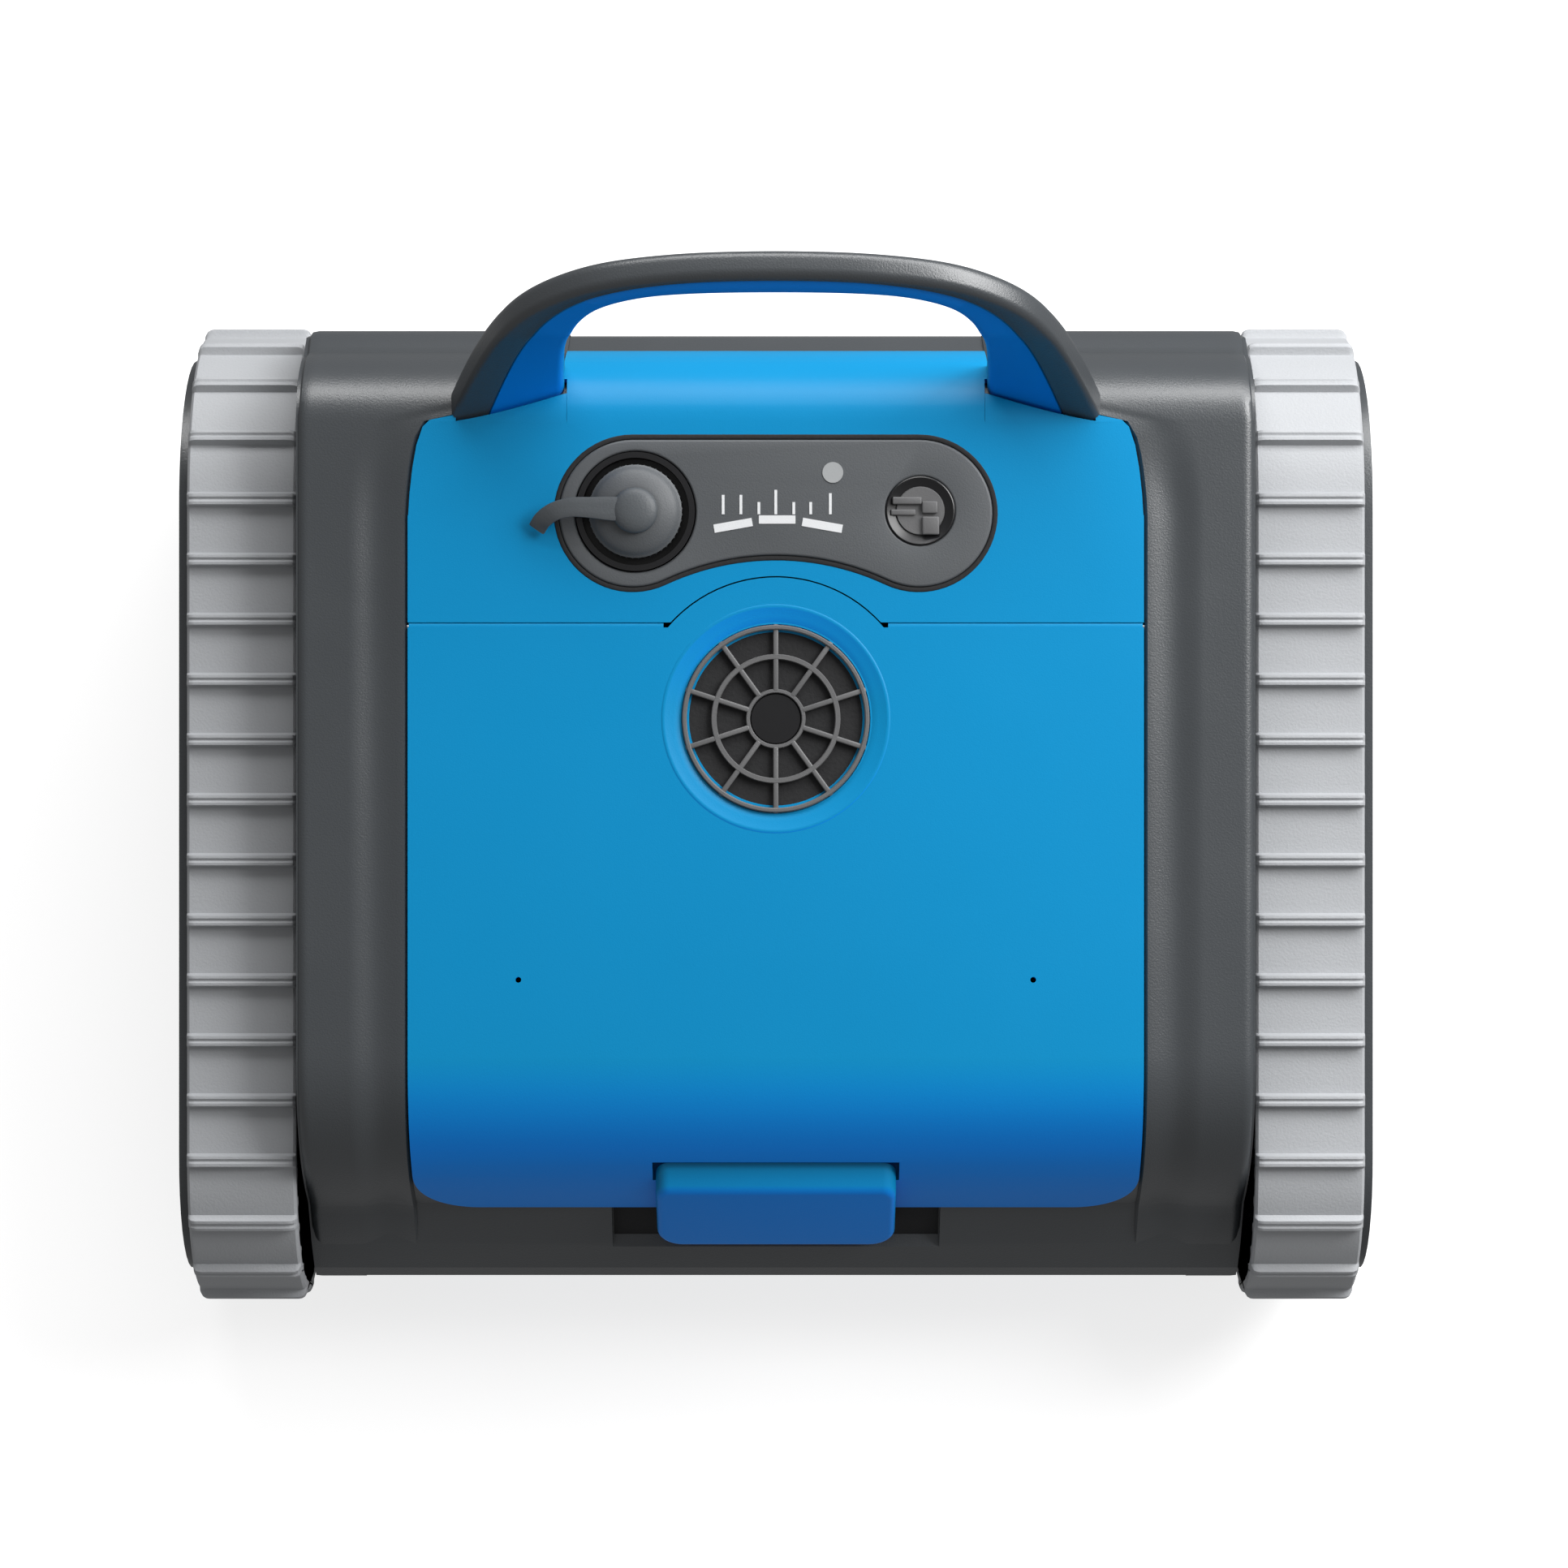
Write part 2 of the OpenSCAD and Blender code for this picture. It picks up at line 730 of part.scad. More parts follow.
module outlet_duct() {
    color(black)
        difference() {
            union() {
                deck_round([0, grille_v], duct_r, -36, -ledge - 1);
                deck_round([0, grille_v], duct_r, motor_top - 3, motor_top);
                deck()
                    for (a = [90, 210, 330])
                        translate([0, grille_v, motor_top - 1])
                            rotate([0, 0, a])
                                translate([duct_r - 4, -5, 0])
                                    cube([3.6, 10, 14]);
            }
            deck_round([0, grille_v], duct_r - 2.6, -37, 0);
            deck_round([0, grille_v], 6, motor_top - 10, motor_top + 3);
        }
}

module pump_motor() {
    color([0.1, 0.1, 0.11])
        difference() {
            union() {
                deck_round([0, grille_v], duct_r - 6, motor_top - motor_len, motor_top - 6);
                deck_round([0, grille_v], duct_r - 3, motor_top - 7, motor_top - 3);
                deck_round([0, grille_v], 5.5, motor_top - 6, motor_top + 2);
            }
            deck_round([0, grille_v], 3 + run_fit, motor_top - 20, motor_top + 3);
        }
}

module impeller() {
    color([0.75, 0.77, 0.78])
        deck()
            translate([0, grille_v, 0]) {
                translate([0, 0, motor_top - 18])
                    cylinder(h = 24, r = 3);
                translate([0, 0, motor_top + 5])
                    cylinder(h = 16, r = 8);
                intersection() {
                    translate([0, 0, motor_top + 5])
                        cylinder(h = 16, r = duct_r - 4.6);
                    for (a = [0:72:288])
                        rotate([0, 0, a])
                            translate([5, 0, motor_top + 13])
                                rotate([38, 0, 0])
                                    translate([0, -10, -1])
                                        cube([30, 20, 2]);
                }
            }
}

module filter_frame() {
    by = basket_y;
    bz = basket_z;
    bh = basket_half;
    color([0.16, 0.17, 0.18])
        difference() {
            union() {
                translate([-bh, by[0], bz[0]])
                    cube([2 * bh, by[1] - by[0], 3]);
                difference() {
                    translate([-bh, by[0], bz[0]])
                        cube([2 * bh, by[1] - by[0], bz[1] - bz[0]]);
                    translate([-bh + 4, by[0] + 4, bz[0] - 1])
                        cube([2 * bh - 8, by[1] - by[0] - 8, 300]);
                    // windows for the mesh
                    for (x = [-bh + 8, 4])
                        translate([x, by[0] - 1, bz[0] + 8])
                            cube([bh - 12, by[1] - by[0] + 2, bz[1] - bz[0] - 18]);
                    translate([-bh - 1, by[0] + 8, bz[0] + 8])
                        cube([2 * bh + 2, by[1] - by[0] - 16, bz[1] - bz[0] - 18]);
                }
                // grip across the mouth
                translate([-bh + 2, inlet_y - 5, bz[1] - 6])
                    cube([2 * bh - 4, 10, 6]);
                sides()
                    translate([inlet_x - inlet_half[0] - 3, inlet_y - inlet_half[1] - 3, bz[0]])
                        cube([2 * inlet_half[0] + 6, 2 * inlet_half[1] + 6, flap_z - bz[0]]);
                // ears for the flap pins
                sides()
                    for (x = [inlet_x - inlet_half[0] - 7.4, inlet_x + inlet_half[0] + 4.4])
                        translate([x, inlet_y + inlet_half[1] + flap_k, bz[0]])
                            cube([3, 8 * flap_k, flap_z - bz[0] + 5.5]);
            }
            sides()
                translate([inlet_x - inlet_half[0], inlet_y - inlet_half[1], 0])
                    cube([2 * inlet_half[0], 2 * inlet_half[1], bz[1] - 8]);
            sides()
                bar_x(inlet_x - inlet_half[0] - 9, inlet_x + inlet_half[0] + 9, 1.5 * flap_k + run_fit,
                    [inlet_y + inlet_half[1] + 5 * flap_k, flap_z + 1.7]);
        }
}

module filter_mesh() {
    by = basket_y;
    bz = basket_z;
    bh = basket_half;
    color([0.8, 0.82, 0.84])
        difference() {
            translate([-bh + 4, by[0] + 4, bz[0] + 3.2])
                cube([2 * bh - 8, by[1] - by[0] - 8, bz[1] - bz[0] - 12]);
            translate([-bh + 4.8, by[0] + 4.8, 0])
                cube([2 * bh - 9.6, by[1] - by[0] - 9.6, 400]);
        }
}

module flap() {
    fy = inlet_y + inlet_half[1] + 5 * flap_k;
    color([0.1, 0.1, 0.105]) {
        translate([inlet_x - inlet_half[0] - 2, inlet_y - inlet_half[1] - 2, flap_z + 0.4])
            cube([2 * inlet_half[0] + 4, 2 * inlet_half[1] + 2 + 5 * flap_k, 2.2]);
        bar_x(inlet_x - inlet_half[0] - 7, inlet_x + inlet_half[0] + 7, 1.5 * flap_k, [fy, flap_z + 1.7]);
    }
}

module flap_left() {
    mirror([1, 0, 0])
        flap();
}

module flap_right() {
    flap();
}

module sealed_box() {
    color([0.13, 0.14, 0.15])
        difference() {
            translate([-box_half, box_y[0], box_z[0]])
                cube([2 * box_half, box_y[1] - box_y[0], box_z[1] - box_z[0] - 3]);
            translate([-box_half + 3, box_y[0] + 3, box_z[0] + 3])
                cube([2 * box_half - 6, box_y[1] - box_y[0] - 6, 300]);
        }
}

module box_cover() {
    color([0.17, 0.18, 0.19])
        translate([-box_half, box_y[0], box_z[1] - 2.9])
            cube([2 * box_half, box_y[1] - box_y[0], 2.9]);
}

module battery_pack() {
    color([0.1, 0.35, 0.2])
        for (i = [0:5])
            translate([-box_half + 4.5 + (2 * box_half - 9) * i / 6, box_y[0] + 5, box_z[0] + 3.2])
                cube([(2 * box_half - 9) / 6 - 0.4, box_y[1] - box_y[0] - 10, (box_z[1] - box_z[0]) * 0.5]);
}

module circuit_board() {
    z0 = box_z[0] + (box_z[1] - box_z[0]) * 0.5 + 6;
    color([0.05, 0.3, 0.12])
        translate([-box_half + 4.5, box_y[0] + 4.5, z0])
            cube([2 * box_half - 9, box_y[1] - box_y[0] - 9, 1.6]);
    color(black)
        for (x = [-0.5, 0.1, 0.5])
            translate([x * box_half, box_y[0] + 24, z0 + 1])
                cube([14, 12, 4]);
}

module gearmotor() {
    color([0.3, 0.31, 0.33])
        difference() {
            union() {
                bar_x(box_half + 4, hw - 44, motor_r - 2, rear_axle);
                bar_x(hw - 44, hw - 26, motor_r, rear_axle);
            }
            bar_x(hw - 36, hw - 20, shaft_r + 0.1, rear_axle);
        }
}

module gearmotor_left() {
    mirror([1, 0, 0])
        gearmotor();
}

module gearmotor_right() {
    gearmotor();
}

module side_plate() {
    color(dark)
        difference() {
            union() {
                along_x(half_w - side_t, half_w)
                    polygon([for (i = [0:95]) on_loop(i * loop_len / 96, -rear_wheel_r * 0.08)]);
                for (a = [front_axle, rear_axle])
                    bar_x(half_w - side_t - 3, half_w - side_t + 1, shaft_r + 5, a);
            }
            for (a = [front_axle, rear_axle]) {
                bar_x(half_w - 9, half_w - 2.2, shaft_r + run_fit, a);
                bar_x(half_w - 1.6, half_w + 1, 15.3, a);
            }
            for (y = screw_y, z = screw_z) {
                bar_x(half_w - 9, half_w + 1, 2.3, [y, z]);
                bar_x(half_w - 1.6, half_w + 1, 4.4, [y, z]);
            }
        }
}

module side_plate_left() {
    mirror([1, 0, 0])
        side_plate();
}

module side_plate_right() {
    side_plate();
}

module hub_caps() {
    color([0.3, 0.31, 0.32])
        sides()
            for (a = [front_axle, rear_axle])
                bar_x(half_w - 1.5, half_w, 15, a);
}

module plate_screws() {
    color(steel)
        sides()
            for (y = screw_y, z = screw_z) {
                bar_x(half_w - 1.5, half_w - 0.2, 4, [y, z]);
                bar_x(half_w - 14, half_w - 1, 2, [y, z]);
            }
}

module chassis_screws() {
    color(steel)
        sides()
            for (y = column_y) {
                translate([column_x, y, ride_h + 1])
                    cylinder(h = 3.8, r = 4);
                translate([column_x, y, ride_h + 2])
                    cylinder(h = split_z - ride_h + 11, r = 2);
            }
}

module track_frame() {
    color([0.15, 0.155, 0.165])
        difference() {
            union() {
                translate([hw, frame_y[0], frame_low])
                    cube([half_w - side_t - hw, frame_y[1] - frame_y[0], frame_top - frame_low]);
                for (x = [belt_in + 1, belt_out - 5])
                    translate([x, roller_at[0] - 8, roller_at[1] - 7])
                        cube([4, 16, frame_low - roller_at[1] + 12]);
            }
            translate([hw - 1, frame_y[0] + 4, frame_low + roller_r * 0.4 + 8])
                cube([belt_w - 4, frame_y[1] - frame_y[0] - 8, frame_top - frame_low - roller_r * 0.4 - 12]);
            bar_x(belt_in + 5, belt_out - 5, roller_r + 1.2, roller_at);
            bar_x(belt_in - 1, belt_out, 4 + run_fit, roller_at);
            for (y = screw_y, z = screw_z)
                bar_x(half_w - 20, half_w, 2.1, [y, z]);
        }
}

module track_frame_left() {
    mirror([1, 0, 0])
        track_frame();
}

module track_frame_right() {
    track_frame();
}

module mid_roller() {
    color([0.35, 0.36, 0.38]) {
        bar_x(belt_in + 5.6, belt_out - 5.6, roller_r, roller_at);
        bar_x(belt_in + 1.2, belt_out - 1.2, 4, roller_at);
    }
}

module mid_roller_left() {
    mirror([1, 0, 0])
        mid_roller();
}

module mid_roller_right() {
    mid_roller();
}

module belt() {
    outer = [for (i = [0:rib_count - 1], f = rib_form)
        on_loop((i + rib_phase) * rib_pitch + f[0] * form_k, belt_t + f[1] * rib_h)];
    inner = [for (i = [0:belt_teeth - 1], f = tooth_form)
        on_loop(i * tooth_pitch + f[0] * form_k, -f[1] * belt_tooth_h)];
    color(pale)
        difference() {
            along_x(belt_in, belt_out) polygon(outer);
            along_x(belt_in - 1, belt_out + 1) polygon(inner);
        }
}

module belt_left() {
    mirror([1, 0, 0])
        belt();
}

module belt_right() {
    belt();
}

// toothed rim, web and hub of a wheel whose first groove is at the given angle
module wheel(r, n, at, a0) {
    step = 360 / n;
    w0 = 2.8 * form_k / r * 180 / PI;
    w1 = 2.1 * form_k / r * 180 / PI;
    x0 = belt_in + 1;
    x1 = belt_out - 2.5;
    color([0.22, 0.23, 0.24])
        difference() {
            union() {
                along_x(x0, x1) translate(at) difference() {
                    polygon([for (i = [0:n - 1], q = [[-w0, 0], [-w1, 1], [w1, 1], [w0, 0]])
                        (r - 0.35 - q[1] * (belt_tooth_h + 0.5)) * [cos(a0 + i * step + q[0]), sin(a0 + i * step + q[0])]]);
                    circle(r = r - 9);
                }
                bar_x((x0 + x1) / 2 - 3, (x0 + x1) / 2 + 3, r - 8, at);
                bar_x(x0, x1, 12, at);
            }
            bar_x(x0 - 1, x1 + 1, shaft_r, at);
            for (i = [0:4])
                bar_x(x0, x1, (r - 24) * 0.36, [at[0] + (r + 4) * 0.5 * cos(72 * i + 36), at[1] + (r + 4) * 0.5 * sin(72 * i + 36)]);
        }
}

module drive_wheel_left() {
    mirror([1, 0, 0])
        wheel(rear_wheel_r, rear_teeth, rear_axle, -90);
}

module drive_wheel_right() {
    wheel(rear_wheel_r, rear_teeth, rear_axle, -90);
}

front_phase = 270 - (s_front / tooth_pitch - floor(s_front / tooth_pitch)) * 360 / front_teeth;

module front_wheel_left() {
    mirror([1, 0, 0])
        wheel(front_wheel_r, front_teeth, front_axle, front_phase);
}

module front_wheel_right() {
    wheel(front_wheel_r, front_teeth, front_axle, front_phase);
}

module shaft(x0, at) {
    color(steel)
        bar_x(x0, half_w - 2.4, shaft_r, at);
}

module drive_shaft_left() {
    mirror([1, 0, 0])
        shaft(hw - 35, rear_axle);
}

module drive_shaft_right() {
    shaft(hw - 35, rear_axle);
}

module front_shaft_left() {
    mirror([1, 0, 0])
        shaft(hw - 13.7, front_axle);
}

module front_shaft_right() {
    shaft(hw - 13.7, front_axle);
}

module wheel_bushes() {
    color([0.75, 0.6, 0.35])
        sides()
            for (a = [front_axle, rear_axle])
                difference() {
                    bar_x(hw - 6, hw + 0.5, bush_r, a);
                    bar_x(hw - 8, hw + 2, shaft_r + run_fit, a);
                }
}

// involute spur gear
pressure = 20;
function involute(base, r) = r <= base ? 0 : tan(acos(base / r)) * 180 / PI - acos(base / r);
function gear_line(n, a0) =
    let (rp = gear_m * n / 2, base = rp * cos(pressure), ra = rp + 0.85 * gear_m, rd = rp - 1.2 * gear_m)
    let (half = 90 / n - 7 * gear_m / rp, rs = [for (i = [0:4]) max(rd, base) + (ra - max(rd, base)) * i / 4])
    [for (i = [0:n - 1], q = concat([[rd, -1]], [for (r = rs) [r, -1]], [for (j = [4:-1:0]) [rs[j], 1]], [[rd, 1]]))
        let (a = a0 + 360 / n * i + q[1] * (half + involute(base, rp) - involute(base, q[0])))
        q[0] * [cos(a), sin(a)]];

function way(p, q) = atan2(q[1] - p[1], q[0] - p[0]);

module gear(n, at, a0, hole) {
    color([0.8, 0.8, 0.78])
        difference() {
            along_x(gear_x[0], gear_x[1]) translate(at) polygon(gear_line(n, a0));
            bar_x(gear_x[0] - 1, gear_x[1] + 1, hole, at);
        }
}

module front_gear() {
    mirror([1, 0, 0])
        gear(front_gear_teeth, front_axle, way(front_axle, front_brush), shaft_r);
}

module rear_gear() {
    gear(rear_gear_teeth, rear_axle, way(rear_axle, rear_brush), shaft_r);
}

module brush_core(at, axle) {
    color([0.5, 0.52, 0.54])
        union() {
            bar_x(-hw + 18.5, hw - 18.5, 9 * k, at);
            bar_x(-hw + 4, hw - 4, 4, at);
            gear(small_teeth, at, way(at, axle) + 180 / small_teeth, 3.5);
        }
}

module brush_blades(at) {
    r = brush_r;
    color([0.12, 0.35, 0.6])
        difference() {
            along_x(-hw + 19.5, hw - 19.5) translate(at) union() {
                circle(r = 11 * k);
                for (a = [0:45:315])
                    rotate(a)
                        translate([8 * k, -1.1])
                            square([r - 8 * k, 2.2]);
            }
            bar_x(-hw, hw, 9 * k, at);
        }
}

module front_brush_core() {
    mirror([1, 0, 0])
        brush_core(front_brush, front_axle);
}

module front_brush_blades() {
    brush_blades(front_brush);
}

module rear_brush_core() {
    brush_core(rear_brush, rear_axle);
}

module rear_brush_blades() {
    brush_blades(rear_brush);
}

module lid_hinge_pins() {
    color(steel)
        sides()
            hinge_bar(lid_half - 8, lid_half + 3.5, pin_r);
}

module lid() {
    color(blue)
        difference() {
            union() {
                difference() {
                    intersection() {
                        skin();
                        lid_area(-seam / 2, 200);
                    }
                    sides()
                        corner_cut(lid_half, 0);
                }
                sides()
                    hinge_bar(arch_x + 1.5, lid_half - 0.4, hinge_r);
                // seat of the grille
                deck_round([0, grille_v], grille_r + 3, -skin_t - 3, -skin_t + 1);
                // trough of the latch
                intersection() {
                    bar_x(-latch_half_w - 4, latch_half_w + 4, latch_r + 3, latch_pivot);
                    along_x(-lid_half, lid_half) body_line(-0.2);
                }
            }
            // edge behind the knuckles
            sides()
                along_x(arch_x + 1.5, lid_half + 1) difference() {
                    translate([hinge[0], hinge[1] - 8])
                        square([10, 16]);
                    translate(hinge)
                        circle(r = hinge_r);
                }
            deck_round([0, grille_v], grille_r + 0.25, -2.6, 5);
            deck_round([0, grille_v], grille_r - 2.6, -9, 5);
            deck()
                translate([0, grille_v, -1.2])
                    cylinder(h = 1.3, r1 = grille_r + 2, r2 = grille_r + 7);
            bar_x(-latch_half_w - 0.5, latch_half_w + 0.5, latch_r + 0.5, latch_pivot);
            bar_x(-latch_half_w - 3, latch_half_w + 3, 1.6, latch_pivot);
            sides()
                hinge_bar(lid_half - 9, lid_half + 3, pin_r + run_fit);
            for (x = [-1, 1])
                translate([x * (lid_half - 40), hinge[0] - 127, 0])
                    cylinder(h = 400, r = 1.05);
        }
}

module outlet_grille() {
    color([0.32, 0.33, 0.34])
        intersection() {
            deck_round([0, grille_v], grille_r, -2.5, 0.3);
            union() {
                deck()
                    translate([0, grille_v, -2.5])
                        linear_extrude(height = 2.8)
                            difference() {
                                circle(r = grille_r);
                                circle(r = grille_r - 1.8);
                            }
                deck()
                    translate([0, grille_v, -2.5])
                        linear_extrude(height = 2.5)
                            difference() {
                                circle(r = grille_r * 0.656 + 1);
                                circle(r = grille_r * 0.656 - 1);
                            }
                deck_round([0, grille_v], grille_r * 0.3, -2.5, -1);
                deck()
                    for (i = [0:9])
                        translate([0, grille_v, -2.5])
                            rotate([0, 0, 36 * i + 90])
                                translate([grille_r * 0.26, -1.15, 0])
                                    cube([grille_r, 2.3, 2.4]);
            }
        }
}

module lid_seal() {
    color(black)
        difference() {
            intersection() {
                along_x(-lid_half + 3.5, lid_half - 3.5) difference() {
                    body_line(-skin_t - 0.05);
                    body_line(-ledge + 0.3);
                }
                along_x(-lid_half + 3.5, lid_half - 3.5) lid_zone(-3, 6);
            }
            along_x(-lid_half + 8, lid_half - 8) lid_zone(-7.5, 10.5);
            sides()
                corner_cut(lid_half - 3.5, 0);
            deck()
                translate([-grille_r - 6, part_v - 30, -20])
                    cube([2 * grille_r + 12, 60, 40]);
            bar_x(-latch_half_w - 6, latch_half_w + 6, latch_r + 3.2, latch_pivot);
        }
}

module latch_pin() {
    color(steel)
        bar_x(-latch_half_w - 2.8, latch_half_w + 2.8, 1.55, latch_pivot);
}

module latch() {
    color(blue)
        difference() {
            union() {
                bar_x(-latch_half_w, latch_half_w, latch_r, latch_pivot);
                along_x(-latch_half_w, latch_half_w) intersection() {
                    difference() {
                        body_line(5);
                        body_line(0.9);
                    }
                    translate([front_y - 10, lid_edge[1] - 9.5])
                        square([50, latch_pivot[1] - lid_edge[1] + 11]);
                }
                along_x(-11, 11) intersection() {
                    difference() {
                        body_line(1.5);
                        body_line(-2.4);
                    }
                    translate([front_y - 10, lid_edge[1] - 9.5])
                        square([60, 2.4]);
                }
            }
            bar_x(-latch_half_w - 1, latch_half_w + 1, 1.6, latch_pivot);
        }
}

upper_housing();
lower_chassis();
rear_cover();
control_panel();
panel_gasket();
charge_socket();
battery_bars();
scale_ticks();
status_light();
switch_bezel();
handle_frame();
handle_insert();
outlet_duct();
pump_motor();
filter_frame();
filter_mesh();
battery_pack();
circuit_board();
sealed_box();
box_cover();
gearmotor_left();
gearmotor_right();
side_plate_left();
side_plate_right();
track_frame_left();
track_frame_right();
belt_left();
belt_right();
hub_caps();
plate_screws();
chassis_screws();
wheel_bushes();
lid_hinge_pins();
lid();
outlet_grille();
lid_seal();
latch_pin();
latch();
drive_wheel_left();
drive_shaft_left();
drive_wheel_right();
drive_shaft_right();
front_wheel_left();
front_shaft_left();
front_wheel_right();
front_shaft_right();
front_gear();
rear_gear();
front_brush_core();
front_brush_blades();
rear_brush_core();
rear_brush_blades();
mid_roller_left();
mid_roller_right();
impeller();
charge_cap();
cap_tether();
power_switch();
flap_left();
flap_right();
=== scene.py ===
import bpy, bmesh, json
from math import pi, sin, cos, asin, atan2, sqrt, radians, degrees, hypot
from mathutils import Vector, Matrix


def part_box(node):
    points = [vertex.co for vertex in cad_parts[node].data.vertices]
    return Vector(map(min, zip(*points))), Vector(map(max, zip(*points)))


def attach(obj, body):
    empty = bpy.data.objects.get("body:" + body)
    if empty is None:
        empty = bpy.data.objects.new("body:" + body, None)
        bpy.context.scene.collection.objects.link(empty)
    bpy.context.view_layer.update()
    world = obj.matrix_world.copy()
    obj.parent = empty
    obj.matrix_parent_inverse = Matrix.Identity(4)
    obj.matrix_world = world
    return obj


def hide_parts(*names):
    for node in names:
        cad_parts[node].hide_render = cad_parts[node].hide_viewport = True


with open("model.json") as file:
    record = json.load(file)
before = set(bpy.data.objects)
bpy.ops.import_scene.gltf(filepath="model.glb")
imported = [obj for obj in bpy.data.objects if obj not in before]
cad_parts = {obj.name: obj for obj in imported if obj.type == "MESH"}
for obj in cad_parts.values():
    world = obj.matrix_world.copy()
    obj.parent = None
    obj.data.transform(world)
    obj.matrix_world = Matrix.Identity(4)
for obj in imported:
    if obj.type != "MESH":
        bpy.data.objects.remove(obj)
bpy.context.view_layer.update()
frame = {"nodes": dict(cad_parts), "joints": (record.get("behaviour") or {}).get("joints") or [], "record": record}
nodes = frame["nodes"]
jointOf = {j["name"]: j for j in frame["joints"]}

# places


def middle(node):
    lo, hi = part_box(node)
    return (lo + hi) / 2


def half(node):
    lo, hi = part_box(node)
    return (hi - lo) / 2


rearAxle = middle("drive_wheel_right")
frontAxle = middle("front_wheel_right")
beltLow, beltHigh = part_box("belt_right")
ribTip = {"rear": rearAxle.z, "front": frontAxle.z}      # both wheels stand on the floor
tilt = 2 * asin((ribTip["rear"] - ribTip["front"]) / hypot(rearAxle.y - frontAxle.y, ribTip["rear"] - ribTip["front"]))
along = Vector((0, cos(tilt), sin(tilt)))                # up the deck, towards the handle
out = Vector((0, -sin(tilt), cos(tilt)))                 # square to the deck
capSpot = Vector(jointOf["cap_turn"]["pos_m"])
deckHeight = capSpot.dot(out)
grilleSpot = Vector(jointOf["impeller_spin"]["pos_m"])
grilleV = grilleSpot.dot(along)
panelV = capSpot.dot(along) - 0.0006
switchSpot = Vector(jointOf["power_rocker"]["pos_m"])


def onDeck(x, v, w=0.0):
    return Vector((x, 0, 0)) + along * v + out * (deckHeight + w)


deckTurn = Matrix.Rotation(tilt, 4, "X")


def deckPlace(x, v, w=0.0):
    return Matrix.Translation(onDeck(x, v, w)) @ deckTurn


# materials


# a plain finish with fine grain, slow colour drift and faint wear
def surface(name, colour, rough=0.5, grain=0.0, grainSize=900.0, vary=0.06, roughVary=0.06,
            metal=0.0, specular=0.5, scratch=0.0, coat=0.0, patch=6.0):
    m = bpy.data.materials.new(name)
    m.use_nodes = True
    t = m.node_tree
    shader = t.nodes["Principled BSDF"]
    shader.inputs["Metallic"].default_value = metal
    shader.inputs["Specular IOR Level"].default_value = specular
    shader.inputs["Coat Weight"].default_value = coat
    shader.inputs["Coat Roughness"].default_value = 0.15
    place = t.nodes.new("ShaderNodeTexCoord")
    drift = t.nodes.new("ShaderNodeTexNoise")
    drift.inputs["Scale"].default_value = patch
    drift.inputs["Detail"].default_value = 4
    t.links.new(place.outputs["Object"], drift.inputs["Vector"])
    ramp = t.nodes.new("ShaderNodeValToRGB")
    ramp.color_ramp.elements[0].position = 0.3
    ramp.color_ramp.elements[1].position = 0.7
    ramp.color_ramp.elements[0].color = [c * (1 - vary) for c in colour[:3]] + [1]
    ramp.color_ramp.elements[1].color = [min(1, c * (1 + vary)) for c in colour[:3]] + [1]
    t.links.new(drift.outputs["Fac"], ramp.inputs["Fac"])
    t.links.new(ramp.outputs["Color"], shader.inputs["Base Color"])
    fine = t.nodes.new("ShaderNodeTexNoise")
    fine.inputs["Scale"].default_value = grainSize
    fine.inputs["Detail"].default_value = 2
    t.links.new(place.outputs["Object"], fine.inputs["Vector"])
    smear = t.nodes.new("ShaderNodeTexNoise")
    smear.inputs["Scale"].default_value = 24
    smear.inputs["Detail"].default_value = 5
    smear.inputs["Distortion"].default_value = 0.6
    t.links.new(place.outputs["Object"], smear.inputs["Vector"])
    spread = t.nodes.new("ShaderNodeMapRange")
    spread.inputs["To Min"].default_value = max(0.02, rough - roughVary)
    spread.inputs["To Max"].default_value = min(1, rough + roughVary)
    t.links.new(smear.outputs["Fac"], spread.inputs["Value"])
    t.links.new(spread.outputs["Result"], shader.inputs["Roughness"])
    height = fine.outputs["Fac"]
    if scratch:
        lines = t.nodes.new("ShaderNodeTexNoise")
        lines.inputs["Scale"].default_value = 60
        lines.inputs["Detail"].default_value = 3
        stretch = t.nodes.new("ShaderNodeMapping")
        stretch.inputs["Scale"].default_value = (1, 30, 30)
        t.links.new(place.outputs["Object"], stretch.inputs["Vector"])
        t.links.new(stretch.outputs["Vector"], lines.inputs["Vector"])
        join = t.nodes.new("ShaderNodeMath")
        join.operation = "MULTIPLY_ADD"
        join.inputs[1].default_value = scratch
        t.links.new(lines.outputs["Fac"], join.inputs[0])
        t.links.new(height, join.inputs[2])
        height = join.outputs["Value"]
    if grain:
        bump = t.nodes.new("ShaderNodeBump")
        bump.inputs["Strength"].default_value = grain
        bump.inputs["Distance"].default_value = 0.0004
        t.links.new(height, bump.inputs["Height"])
        t.links.new(bump.outputs["Normal"], shader.inputs["Normal"])
    return m


